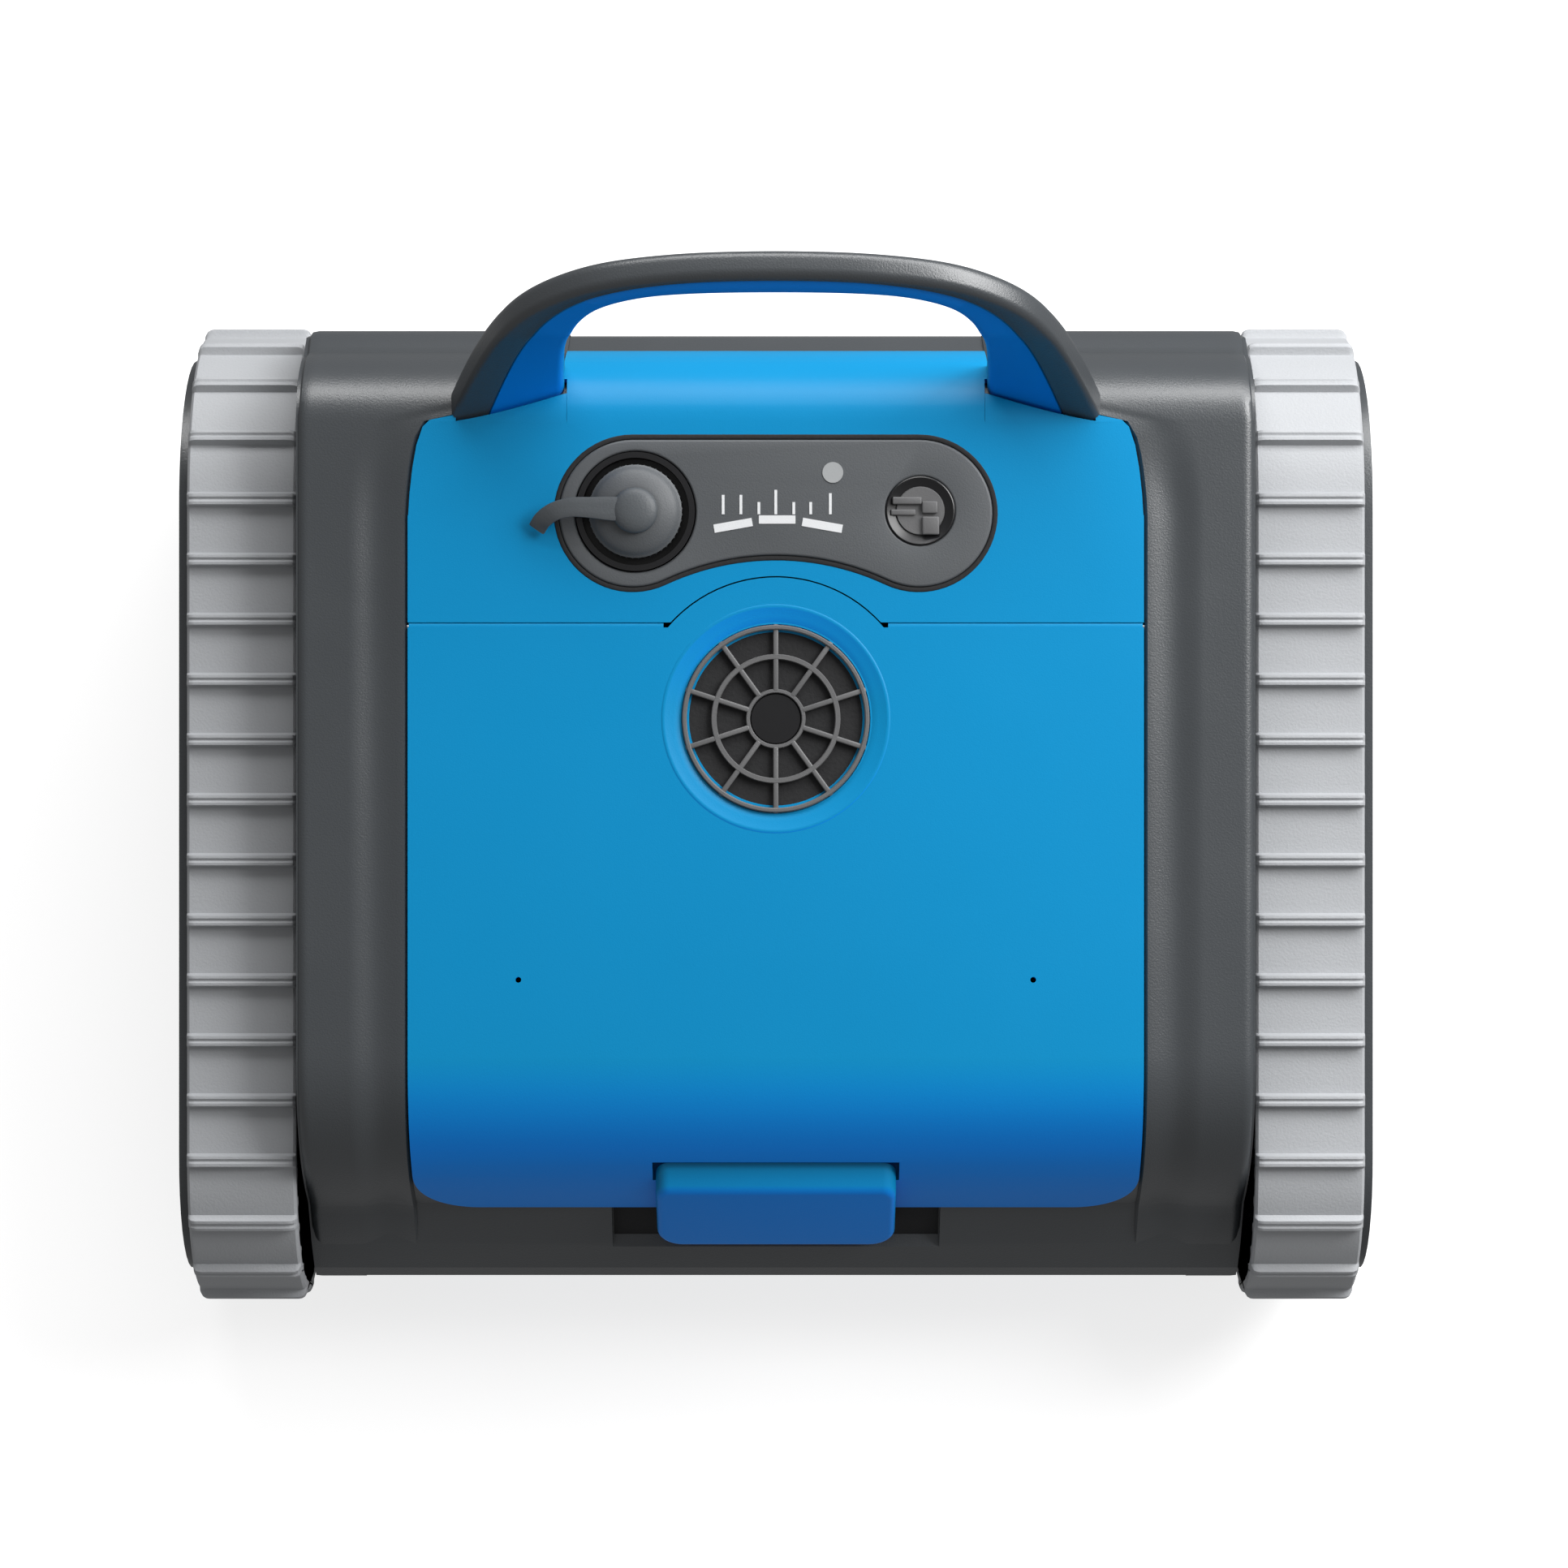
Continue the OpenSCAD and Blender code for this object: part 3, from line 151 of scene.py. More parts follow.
# painted shade: mixes a deeper tone into faces that look forwards (towards -Y), standing in for the shade on the front
# slopes; it goes by world direction, so it shifts as a piece turns
def paintForwardShade(material, deep, low=-0.7, high=-0.14):
    t = material.node_tree
    shader = t.nodes["Principled BSDF"]
    old = shader.inputs["Base Color"].links[0].from_socket
    facing = t.nodes.new("ShaderNodeNewGeometry")
    parts = t.nodes.new("ShaderNodeSeparateXYZ")
    t.links.new(facing.outputs["Normal"], parts.inputs["Vector"])
    share = t.nodes.new("ShaderNodeMapRange")
    share.inputs["From Min"].default_value = low
    share.inputs["From Max"].default_value = high
    t.links.new(parts.outputs["Y"], share.inputs["Value"])
    blend = t.nodes.new("ShaderNodeMix")
    blend.data_type = "RGBA"
    blend.inputs[6].default_value = (*deep, 1)
    t.links.new(share.outputs["Result"], blend.inputs[0])
    t.links.new(old, blend.inputs[7])
    t.links.new(blend.outputs[2], shader.inputs["Base Color"])


finish = {
    "housing_plastic": surface("housingPlastic", (0.039, 0.044, 0.049), 0.36, 0.22, 1500, 0.06, 0.06, specular=0.8),
    "chassis_plastic": surface("chassisPlastic", (0.03, 0.032, 0.036), 0.55, 0.3, 1200, 0.08),
    "blue_plastic": surface("bluePlastic", (0.0, 0.215, 0.455), 0.42, 0.08, 1800, 0.03, 0.04, specular=0.22),
    "panel_plastic": surface("panelPlastic", (0.078, 0.084, 0.09), 0.5, 0.2, 1600, 0.04),
    "black_plastic": surface("blackPlastic", (0.006, 0.006, 0.007), 0.34, 0.06, 900, 0.1),
    "black_rubber": surface("blackRubber", (0.005, 0.005, 0.006), 0.75, 0.35, 700, 0.1),
    "belt_rubber": surface("beltRubber", (0.345, 0.355, 0.37), 0.6, 0.3, 1100, 0.05),
    "tether_rubber": surface("tetherRubber", (0.075, 0.083, 0.09), 0.5, 0.2, 1200, 0.05),
    "grille_plastic": surface("grillePlastic", (0.11, 0.11, 0.112), 0.45, 0.15, 1500, 0.05),
    "print_white": surface("printWhite", (0.66, 0.67, 0.68), 0.55, 0.1, 2500, 0.04),
    "light_lens": surface("lightLens", (0.33, 0.34, 0.345), 0.3, 0.05, 900, 0.04, coat=0.4),
    "steel": surface("steel", (0.5, 0.51, 0.52), 0.3, 0.12, 900, 0.05, 0.08, metal=1, scratch=0.8),
    "bronze": surface("bronze", (0.5, 0.36, 0.18), 0.35, 0.12, 900, 0.08, metal=1, scratch=0.6),
    "gear_plastic": surface("gearPlastic", (0.62, 0.62, 0.57), 0.45, 0.1, 900, 0.04),
    "roller_plastic": surface("rollerPlastic", (0.13, 0.135, 0.145), 0.5, 0.2, 1000, 0.07),
    "brush_rubber": surface("brushRubber", (0.01, 0.13, 0.32), 0.65, 0.35, 700, 0.08),
    "mesh_fabric": surface("meshFabric", (0.5, 0.53, 0.56), 0.8, 0.9, 2600, 0.08),
    "battery_wrap": surface("batteryWrap", (0.02, 0.16, 0.06), 0.3, 0.05, 400, 0.08),
    "board": surface("board", (0.01, 0.12, 0.04), 0.35, 0.15, 500, 0.1),
    "motor_case": surface("motorCase", (0.12, 0.125, 0.135), 0.4, 0.15, 900, 0.07, metal=0.6),
}

# the blue plastic gets painted shade: a deeper blue on faces that look forwards
paintForwardShade(finish["blue_plastic"], (0.0, 0.235, 0.84))

# meshes


# turns a bmesh into a piece that rides on a body
def newMesh(name, shape, slotName, body, replaced=(), smooth=35, place=None):
    if place is not None:
        bmesh.ops.transform(shape, matrix=place, verts=shape.verts)
    bmesh.ops.recalc_face_normals(shape, faces=shape.faces)
    mesh = bpy.data.meshes.new(name)
    shape.to_mesh(mesh)
    shape.free()
    mesh.materials.append(finish[slotName])
    piece = bpy.data.objects.new(name, mesh)
    bpy.context.scene.collection.objects.link(piece)
    mesh.polygons.foreach_set("use_smooth", [True] * len(mesh.polygons))
    mesh.set_sharp_from_angle(angle=radians(smooth))
    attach(piece, body)
    if replaced:
        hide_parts(*replaced)
    return piece


# a sheet of faces laid out by shape(u, v), u and v from 0 to 1
def grid(across, down, shape):
    b = bmesh.new()
    bmesh.ops.create_grid(b, x_segments=across, y_segments=down, size=0.5)
    for v in b.verts:
        v.co = shape(v.co.x + 0.5, v.co.y + 0.5)
    return b


# a profile of (radius, height) points turned round Z
def lathe(profile, steps=64):
    b = bmesh.new()
    line = [b.verts.new((max(r, 0), 0, z)) for r, z in profile]
    edges = [b.edges.new(pair) for pair in zip(line, line[1:])]
    bmesh.ops.spin(b, geom=line + edges, cent=(0, 0, 0), axis=(0, 0, 1), angle=2 * pi, steps=steps, use_merge=True)
    bmesh.ops.remove_doubles(b, verts=b.verts, dist=1e-6)
    return b


def block(size, at=(0, 0, 0), bevel=0.0, steps=3, turn=None):
    b = bmesh.new()
    bmesh.ops.create_cube(b, size=1)
    bmesh.ops.scale(b, vec=size, verts=b.verts)
    if bevel:
        bmesh.ops.bevel(b, geom=b.edges[:], offset=bevel, segments=steps, profile=0.5, affect="EDGES", material=-1)
    if turn is not None:
        bmesh.ops.transform(b, matrix=turn, verts=b.verts)
    bmesh.ops.translate(b, vec=at, verts=b.verts)
    return b


def joined(*shapes):
    whole = bmesh.new()
    for s in shapes:
        keep = bpy.data.meshes.new("part")
        s.to_mesh(keep)
        s.free()
        whole.from_mesh(keep)
        bpy.data.meshes.remove(keep)
    return whole


# belts
belt = {
    "thick": 0.0039, "rib": 0.003, "ribs": 38, "phase": 0.276, "tooth": 0.0022, "teeth": 76,
}
wheelR = {"rear": ribTip["rear"] - belt["thick"] - belt["rib"], "front": ribTip["front"] - belt["thick"] - belt["rib"]}
runLength = rearAxle.y - frontAxle.y
sRear = wheelR["rear"] * (pi + tilt)
sTop = sRear + runLength
sFront = sTop + wheelR["front"] * (pi - tilt)
loopLength = sFront + runLength
ribPitch = loopLength / belt["ribs"]


def loopPoint(s, lift):
    s = s % loopLength
    if s < sRear:
        a = -pi / 2 + s / wheelR["rear"]
        r = wheelR["rear"] + lift
        return rearAxle.y + r * cos(a), rearAxle.z + r * sin(a)
    if s < sTop:
        a = pi / 2 + tilt
        r = wheelR["rear"] + lift
        d = s - sRear
        return rearAxle.y + r * cos(a) - d * cos(tilt), rearAxle.z + r * sin(a) - d * sin(tilt)
    if s < sFront:
        a = pi / 2 + tilt + (s - sTop) / wheelR["front"]
        r = wheelR["front"] + lift
        return frontAxle.y + r * cos(a), frontAxle.z + r * sin(a)
    return frontAxle.y + s - sFront, frontAxle.z - wheelR["front"] - lift


# height of a rib at d along the belt from its middle and x across from the belt's middle
def ribHeight(d, x):
    wide = (beltHigh.x - beltLow.x) / 2
    end = max(0.0, abs(x) - (wide - 0.0032)) / 0.0032          # rounded ends
    lip = 1 - 0.55 * end ** 2.2
    d = abs(d)
    if d < 0.0007:
        top = 0.80 + 0.2 * (d / 0.0007) ** 2
    elif d < 0.0017:
        top = 1.0
    elif d < 0.0027:
        k = (d - 0.0017) / 0.001
        top = 1 - k * k * (3 - 2 * k)
    else:
        top = 0.0
    return belt["rib"] * top * lip


cell = [-0.0027, -0.0024, -0.0021, -0.0018, -0.0014, -0.0008, -0.0004, 0, 0.0004, 0.0008, 0.0014, 0.0018, 0.0021,
        0.0024, 0.0027, 0.0038, 0.0055, 0.0075, 0.0095, 0.0115, 0.0135, 0.0155, 0.0175, 0.0186]


def makeBelt(side):
    lo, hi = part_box("belt_" + side)
    mid, wide = (lo.x + hi.x) / 2, (hi.x - lo.x) / 2
    across = [-1, -0.985, -0.95, -0.9, -0.84, -0.6, -0.2, 0.2, 0.6, 0.84, 0.9, 0.95, 0.985, 1]
    n = belt["ribs"] * len(cell)

    def place(u, v):
        i = round(u * n)
        j = round(v * (len(across) - 1))
        k, c = divmod(i, len(cell))
        d = cell[c] if k < belt["ribs"] else cell[0]
        s = (k + belt["phase"]) * ribPitch + d
        x = across[j] * wide
        edge = max(0.0, abs(across[j]) - 0.94) / 0.06
        lift = belt["thick"] - 0.0011 * edge ** 2 + ribHeight(d, x)
        y, z = loopPoint(s, lift)
        return Vector((mid + x, y, max(z, lo.z)))
    b = grid(n, len(across) - 1, place)
    bmesh.ops.remove_doubles(b, verts=b.verts, dist=1e-6)

    inner = 6 * belt["teeth"]
    teeth = [-0.0022, -0.0015, 0.0015, 0.0022, 0.0044, 0.0066]

    def under(u, v):
        i = round(u * inner)
        k, c = divmod(i, 6)
        d = teeth[c] if k < belt["teeth"] else teeth[0]
        y, z = loopPoint(k * loopLength / belt["teeth"] + d, -belt["tooth"] if c in (1, 2) else 0.0)
        return Vector((mid + (wide if round(v) else -wide), y, z))
    b2 = grid(inner, 1, under)
    bmesh.ops.remove_doubles(b2, verts=b2.verts, dist=1e-6)
    whole = joined(b, b2)
    for x in (mid - wide, mid + wide):                         # close the two edges of the loop
        rim = [e for e in whole.edges if e.is_boundary and all(abs(v.co.x - x) < 1e-6 for v in e.verts)]
        bmesh.ops.bridge_loops(whole, edges=rim)
    return newMesh("belt" + side.capitalize(), whole, "belt_rubber", "body", ("belt_" + side,), smooth=28)


makeBelt("left")
makeBelt("right")
print("belts done")

# body profile, front to rear, as (y, z)
mm = 0.001
lidLow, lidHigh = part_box("lid")
coverLow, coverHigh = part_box("rear_cover")
houseLow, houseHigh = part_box("upper_housing")
hw = houseHigh.x
lidHalf = lidHigh.x
frontY, rearY = houseLow.y - 0.002, houseHigh.y + 0.002
lidEdge = Vector((lidLow.y, lidLow.z))
coverEdge = Vector((coverHigh.y, coverLow.z))
deckStart, deckEnd = frontY + 0.0796, rearY - 0.0444


def deckZ(y):
    return deckHeight / cos(tilt) + sin(tilt) / cos(tilt) * y


def bezier(p, t):
    return (1 - t) ** 3 * p[0] + 3 * t * (1 - t) ** 2 * p[1] + 3 * t * t * (1 - t) * p[2] + t ** 3 * p[3]


deckDir = Vector((cos(tilt), sin(tilt)))
deckA, deckB = Vector((deckStart, deckZ(deckStart))), Vector((deckEnd, deckZ(deckEnd)))
frontCurve = [deckA, deckA - 0.034 * deckDir, lidEdge + 0.022 * Vector((cos(radians(70)), sin(radians(70)))), lidEdge]
rearCurve = [coverEdge, coverEdge + Vector((-0.004, 0.012)), deckB + 0.016 * deckDir, deckB]


# a smooth line through points, t from 0 to 1
def spline(points, t):
    k = min(int(t * (len(points) - 1)), len(points) - 2)
    f = t * (len(points) - 1) - k
    q = [points[max(0, k - 1)], points[k], points[k + 1], points[min(len(points) - 1, k + 2)]]
    return 0.5 * ((2 * q[1]) + (q[2] - q[0]) * f + (2 * q[0] - 5 * q[1] + 4 * q[2] - q[3]) * f * f
                  + (3 * q[1] - q[0] - 3 * q[2] + q[3]) * f ** 3)


def ease(k):
    k = max(0.0, min(1.0, k))
    return k * k * (3 - 2 * k)


noseLine = [Vector((frontY, 0.044)), Vector((frontY, 0.054)), Vector((frontY + 0.003, 0.061)),
            Vector((frontY + 0.0125, 0.074)), lidEdge]
tailLine = [coverEdge, Vector((rearY - 0.0045, coverEdge.y - 0.009)), Vector((rearY - 0.0015, coverEdge.y - 0.02)),
            Vector((rearY, coverEdge.y - 0.036)), Vector((rearY, 0.046))]
bodyLine = ([spline(noseLine, i / 14) for i in range(14)] + [bezier(frontCurve, 1 - i / 26) for i in range(26)]
            + [deckA.lerp(deckB, i / 40) for i in range(40)] + [bezier(rearCurve, 1 - i / 20) for i in range(20)]
            + [spline(tailLine, i / 14) for i in range(15)])
bodyOut = []
for i in range(len(bodyLine)):
    d = (bodyLine[min(i + 1, len(bodyLine) - 1)] - bodyLine[max(i - 1, 0)]).normalized()
    bodyOut.append(Vector((-d.y, d.x)))

# relief over the two strips of the housing
strip = {"collar": 11, "rise": 10, "low": 1.9, "lip": 0.2, "top": 0.25, "edge": 4.2}
coverSide = [(0.1152, -0.2), (0.1232, 0.5), (0.1322, 1.5), (0.1407, 3.0), (0.1472, 5.2), (0.1497, 7.8)]
cornerLine = [(0.1497, 0.1252), (0.1532, 0.1082), (0.1577, 0.0922), (0.1642, 0.0812), (0.1722, 0.0772), (0.1832, 0.0762),
              (0.30, 0.0762)]


# how far from the middle the housing strip starts, at a place on the profile
def innerEdge(y, z):
    v = y * cos(tilt) + z * sin(tilt)
    if y < 0:
        return lidHalf + 0.0004
    for line, turn in ((coverSide, True), (cornerLine, False)):
        for (v0, a), (v1, b) in zip(line, line[1:]):
            if v0 <= v < v1:
                f = (v - v0) / (v1 - v0)
                return lidHalf + 0.0004 - (a + (b - a) * f) * mm if turn else a + (b - a) * f
    return lidHalf + 0.0004 if v < 0.12 else 0.0762


# height above the lid's surface at d mm from the strip's inner edge
def stripHeight(d, fade, wide):
    low = -strip["low"] * fade - (1 - fade) * 0.5
    if d < strip["collar"]:
        w = -strip["lip"] + (low + strip["lip"]) * ease(d / strip["collar"]) ** 0.8
    else:
        w = low + (-strip["top"] - low) * ease((d - strip["collar"]) / strip["rise"])
    left = wide - d
    if left < strip["edge"]:
        k = 1 - left / strip["edge"]
        w -= strip["edge"] * (1 - sqrt(max(0.0, 1 - k * k)))
    return w


def makeStrip(side):
    sign = 1 if side == "right" else -1
    down, across = len(bodyLine) - 1, 44

    def place(u, v):
        i, j = round(u * down), round(v * across)
        y, z = bodyLine[i]
        start = innerEdge(y, z)
        wide = (hw + 0.0002 - start) / mm
        vv = y * cos(tilt) + z * sin(tilt)
        fade = (1 - ease((vv - 0.118) / 0.03)) * ease((z - 0.062) / 0.03)
        if j > across - 2:                                  # skirt below the rounded edge
            w, x = -(9 if j == across else strip["edge"]), hw + 0.0002
        else:
            d = wide * j / (across - 2)
            w, x = stripHeight(d, fade, wide), start + d * mm
        if j == 0:
            w -= 1.4
        low = 0.084 if y < 0 else 0.128                       # the strip sinks into the wall below the deck
        w -= 2.4 * (1 - ease((z - low + 0.016) / 0.016))
        o = bodyOut[i]
        return Vector((sign * x, y + o.x * w * mm, z + o.y * w * mm))
    b = grid(down, across, place)
    return newMesh("stripRelief" + side.capitalize(), b, "housing_plastic", "body", smooth=40)


makeStrip("left")
makeStrip("right")
print("strips done")

# carrying handle
footZ = deckZ(deckEnd)
arcOuter = [(121.6, -14), (118.5, -4), (109.5, 20), (101.8, 38), (95.2, 50), (86.5, 59.8), (75, 67.8), (62, 73.6),
            (46, 77.4), (26, 79.9), (0, 80.8)]
arcMid = [(109, -14), (104.5, -4), (97, 18), (91, 34.5), (85.5, 46.5), (78.5, 56.2), (69.5, 63.8), (58, 69.3),
          (43.5, 73.3), (24.8, 75.8), (0, 76.6)]
arcInner = [(77, -14), (76.5, 0), (75.6, 20), (74.4, 34), (72, 44.5), (68, 52.6), (62, 58.8), (53, 63.2), (40.5, 66.2),
            (23, 67.7), (0, 68.1)]
handle = {"steps": 120, "front": 0.4, "round": 2.5, "fullBack": 4.6, "wrap": 11, "deep": 13.2, "taper": 2.8}


# a point of an arch line; t runs from the left foot (-1) over the top (0) to the right foot (1)
def arcPoint(line, t):
    left = [Vector((-x, h)) for x, h in line]
    right = [Vector((x, h)) for x, h in reversed(line[:-1])]
    return spline(left + right, (t + 1) / 2)


# distance behind the deck's end of the handle's front face, in mm
def handleFront(x, h):
    y = handle["front"] + 29.5 * h / 67.5 if h < 67.5 else 29.9 + (h - 67.5) * 0.42
    outer = max(0.0, min(1.0, (121 - abs(x)) / 45))
    return y + handle["wrap"] * outer ** 1.4 * max(0.0, 1 - max(h, -14) / 46) * (1 if h > -20 else 0)


def handleDepth(h):
    return handle["deep"] - handle["taper"] * ease(h / 80)


# u: 0 outer, 1 middle, 2 inner edge; d: share of the depth, in mm behind the front face
def onHandle(t, u, d):
    o, m, n = arcPoint(arcOuter, t), arcPoint(arcMid, t), arcPoint(arcInner, t)
    q = o.lerp(m, u) if u <= 1 else m.lerp(n, u - 1)
    y = handleFront(q.x, q.y) + d
    return Vector((q.x * mm, deckEnd + y * mm, footZ + q.y * mm))


# joins rings of points, one after another, into a skin
def loft(rings, closed=True):
    b = bmesh.new()
    rows = [[b.verts.new(p) for p in ring] for ring in rings]
    for r, s in zip(rows, rows[1:]):
        n = len(r)
        for k in range(n if closed else n - 1):
            b.faces.new((r[k], r[(k + 1) % n], s[(k + 1) % n], s[k]))
    if closed:
        b.faces.new(rows[0])
        b.faces.new(rows[-1])
    return b


def frameRing(t):
    wide = (arcPoint(arcOuter, t) - arcPoint(arcMid, t)).length
    deep = handleDepth(arcPoint(arcOuter, t).y)
    r, ring = handle["round"], []
    for k in range(7):                                     # rounded outer front edge
        a = pi / 2 * k / 6
        ring.append(onHandle(t, r * (1 - sin(a)) / wide, r * (1 - cos(a))))
    back = handle["fullBack"]
    for k in range(7):                                     # fuller curve at the outer back
        a = pi / 2 * k / 6
        ring.append(onHandle(t, back * (1 - cos(a)) / wide, deep - back * (1 - sin(a))))
    ring.append(onHandle(t, 2.0, deep))
    ring.append(onHandle(t, 2.0, deep - 2.6))
    ring.append(onHandle(t, 1.0, deep - 2.6))
    ring.append(onHandle(t, 1.0, 1.0))
    ring.append(onHandle(t, 1 - 0.35 / wide, 0.3))
    ring.append(onHandle(t, 1 - 0.9 / wide, 0))
    return ring


def insertRing(t):
    m, n = arcPoint(arcMid, t), arcPoint(arcInner, t)
    wide = (m - n).length
    deep = handleDepth(m.y) - 2.8
    r, ring = 3.0, []
    ring.append(onHandle(t, 1 + 0.12 / wide, deep))
    ring.append(onHandle(t, 1 + 0.12 / wide, 1.0))
    ring.append(onHandle(t, 1 + 0.5 / wide, 0.5))
    for k in range(7):
        a = pi / 2 * k / 6
        ring.append(onHandle(t, 2 - r * (1 - sin(a)) / wide, 0.5 + r * (1 - cos(a))))
    ring.append(onHandle(t, 2.0, deep))
    return ring


steps = handle["steps"]
ts = [-1 + 2 * i / steps for i in range(steps + 1)]
newMesh("handleFrame", loft([frameRing(t) for t in ts]), "housing_plastic", "body", ("handle_frame",), smooth=40)
newMesh("handleInsert", loft([insertRing(t) for t in ts]), "blue_plastic", "body", ("handle_insert",), smooth=40)
print("handle done")

# blue apron that closes the gap between the rear cover and the curved fronts of the handle's feet
apron = {"gap": 0.9, "skirt": 2.4, "from": 75.6, "to": 121.6, "lift": 0.03}


# the place on the body profile at y, with its outward direction
def profileAt(y):
    for p, q, o in zip(bodyLine[14:], bodyLine[15:], bodyOut[14:]):
        if p.x <= y < q.x:
            return p.lerp(q, (y - p.x) / (q.x - p.x)), o
    return bodyLine[-16], bodyOut[-16]


def makeApron(sign):
    def place(u, v):
        i, j = round(u * 30), round(v * 12)
        x = apron["from"] + (apron["to"] - apron["from"]) * min(1, max(0, (i - 1) / 28))
        far = handleFront(x, 0) - apron["gap"]
        y = -0.5 + (far + 0.5) * min(1, max(0, (j - 1) / 10))
        p, o = profileAt(deckEnd + y * mm)
        drop = apron["skirt"] if i in (0, 30) or j in (0, 12) else -apron["lift"]
        return Vector((sign * x * mm, p.x - o.x * drop * mm, p.y - o.y * drop * mm))
    return newMesh("footApron" + ("Left" if sign < 0 else "Right"), grid(30, 12, place), "blue_plastic", "body", smooth=40)


makeApron(-1)
makeApron(1)

# control panel
panelHalf = 0.0517
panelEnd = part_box("control_panel")[1].x - panelHalf
waistV = panelV - 0.0155
waistR = (panelHalf ** 2 + (panelV - waistV) ** 2 - panelEnd ** 2) / (2 * (panelEnd - (panelV - waistV)))
waistA = degrees(atan2(panelV - waistV + waistR, panelHalf))


# outline of the panel about its own middle, grown by o
def panelLine(o):
    pts = []
    for k in range(37):
        a = radians(90 + (270 - waistA) * k / 36)
        pts.append((-panelHalf + (panelEnd + o) * cos(a), (panelEnd + o) * sin(a)))
    for k in range(1, 24):
        a = radians(180 - waistA - (180 - 2 * waistA) * k / 24)
        pts.append(((waistR - o) * cos(a), waistV - panelV - waistR + (waistR - o) * sin(a)))
    for k in range(37):
        a = radians(180 + waistA + (270 - waistA) * k / 36)
        pts.append((panelHalf + (panelEnd + o) * cos(a), (panelEnd + o) * sin(a)))
    return pts


def ringPoints(r, x, y, n=64):
    return [(x + r * cos(2 * pi * k / n), y + r * sin(2 * pi * k / n)) for k in range(n)]


# a flat plate bounded by the first line, with the others as holes, with soft upper rims
def plateWithHoles(lines, low, high, bevel, steps=3):
    b = bmesh.new()
    edges = []
    for line in lines:
        vs = [b.verts.new((p[0], p[1], low)) for p in line]
        edges += [b.edges.new((vs[k], vs[(k + 1) % len(vs)])) for k in range(len(vs))]
    bmesh.ops.triangle_fill(b, use_beauty=True, edges=edges)
    raised = bmesh.ops.extrude_face_region(b, geom=b.faces[:])
    bmesh.ops.translate(b, verts=[g for g in raised["geom"] if isinstance(g, bmesh.types.BMVert)], vec=(0, 0, high - low))
    bmesh.ops.recalc_face_normals(b, faces=b.faces)
    top = [e for e in b.edges if all(abs(v.co.z - high) < 1e-7 for v in e.verts)
           and any(abs(f.normal.z) < 0.5 for f in e.link_faces)]
    bmesh.ops.bevel(b, geom=top, offset=bevel, segments=steps, profile=0.5, affect="EDGES", material=-1)
    return b


capHole = ringPoints(0.0218, capSpot.x, 0.0006)
switchHole = ringPoints(0.0125, switchSpot.x, 0.0009)
panelShape = plateWithHoles([panelLine(-0.0004), capHole, switchHole], -0.003, 0.0008, 0.0009, 4)
newMesh("controlPanel", panelShape, "panel_plastic", "body", ("control_panel",), smooth=50, place=deckPlace(0, panelV))
gasket = plateWithHoles([panelLine(0.0016), panelLine(-0.0003)], -0.003, 0.0002, 0.0004, 2)
newMesh("panelGasket", gasket, "black_rubber", "body", ("panel_gasket",), smooth=50, place=deckPlace(0, panelV))
well = lathe([(0.0218, 0.0008), (0.0217, 0.0002), (0.0214, -0.0064), (0.0121, -0.0064)], 72)
newMesh("capWell", well, "black_plastic", "body", smooth=40, place=deckPlace(capSpot.x, panelV + 0.0006))

# marks printed on the panel keep the shapes of the CAD, and so does the light

# charge cap, its strap and stud
cap = {"knurls": 48, "depth": 0.0006}


def knurled(profile, knurls, depth, low, high):
    b = lathe(profile, knurls * 4)
    for v in b.verts:
        r = hypot(v.co.x, v.co.y)
        if low < v.co.z < high and r > 0.0155:
            a = atan2(v.co.y, v.co.x)
            k = 1 - depth / r * (0.5 + 0.5 * cos(a * knurls)) ** 0.7
            v.co.x *= k
            v.co.y *= k
    return b


capProfile = [(0.0, -0.001), (0.0166, -0.001), (0.0171, -0.0006), (0.0171, 0.002), (0.0168, 0.0027), (0.0162, 0.0031),
              (0.0158, 0.0035), (0.0152, 0.0042), (0.0144, 0.0048), (0.0132, 0.0054), (0.0117, 0.006), (0.0098, 0.0066),
              (0.0086, 0.0069), (0.0, 0.0071)]
newMesh("chargeCap", knurled(capProfile, cap["knurls"], cap["depth"], -0.002, 0.0024), "panel_plastic", "charge_cap",
        ("charge_cap",), smooth=40, place=deckPlace(capSpot.x, panelV + 0.0006))
studProfile = [(0.0, 0.0069), (0.0081, 0.0072), (0.0083, 0.0078), (0.0082, 0.0086), (0.0076, 0.0094), (0.0062, 0.0101),
               (0.0044, 0.0106), (0.002, 0.0109), (0.0, 0.01095)]
stud = lathe(studProfile, 64)
strapLine = [(-2, 0.2, 8.5, 8.8), (-9, 0.6, 8.6, 8.6), (-16, 1.0, 8.6, 7.6), (-23, 1.1, 8.3, 7.0), (-29, -0.4, 7.3, 6.7),
             (-33.2, -3.2, 5.2, 6.6), (-35.4, -6.2, 2.6, 6.4)]


# a soft rectangular section of the strap at t along it
def strapRing(t):
    p = spline([Vector(q) for q in strapLine], t)
    q = spline([Vector(q) for q in strapLine], min(1, t + 0.01)) - spline([Vector(q) for q in strapLine], max(0, t - 0.01))
    d = Vector((q[0], q[1], q[2])).normalized()
    sideways = Vector((-d.y, d.x, 0)).normalized()
    up = d.cross(sideways)
    if up.z < 0:
        up = -up
    ring = []
    for k in range(20):
        a = 2 * pi * k / 20
        c, e = cos(a), sin(a)
        f = (abs(c) ** 5 + abs(e) ** 5) ** (-0.2)
        ring.append((Vector(p[:3]) + sideways * c * f * p[3] / 2 + up * e * f * 1.05) * mm)
    return ring


strapShape = loft([strapRing(i / 30) for i in range(31)])
newMesh("capTether", joined(stud, strapShape), "tether_rubber", "cap_swivel", ("cap_tether",), smooth=40,
        place=deckPlace(capSpot.x, panelV + 0.0006))

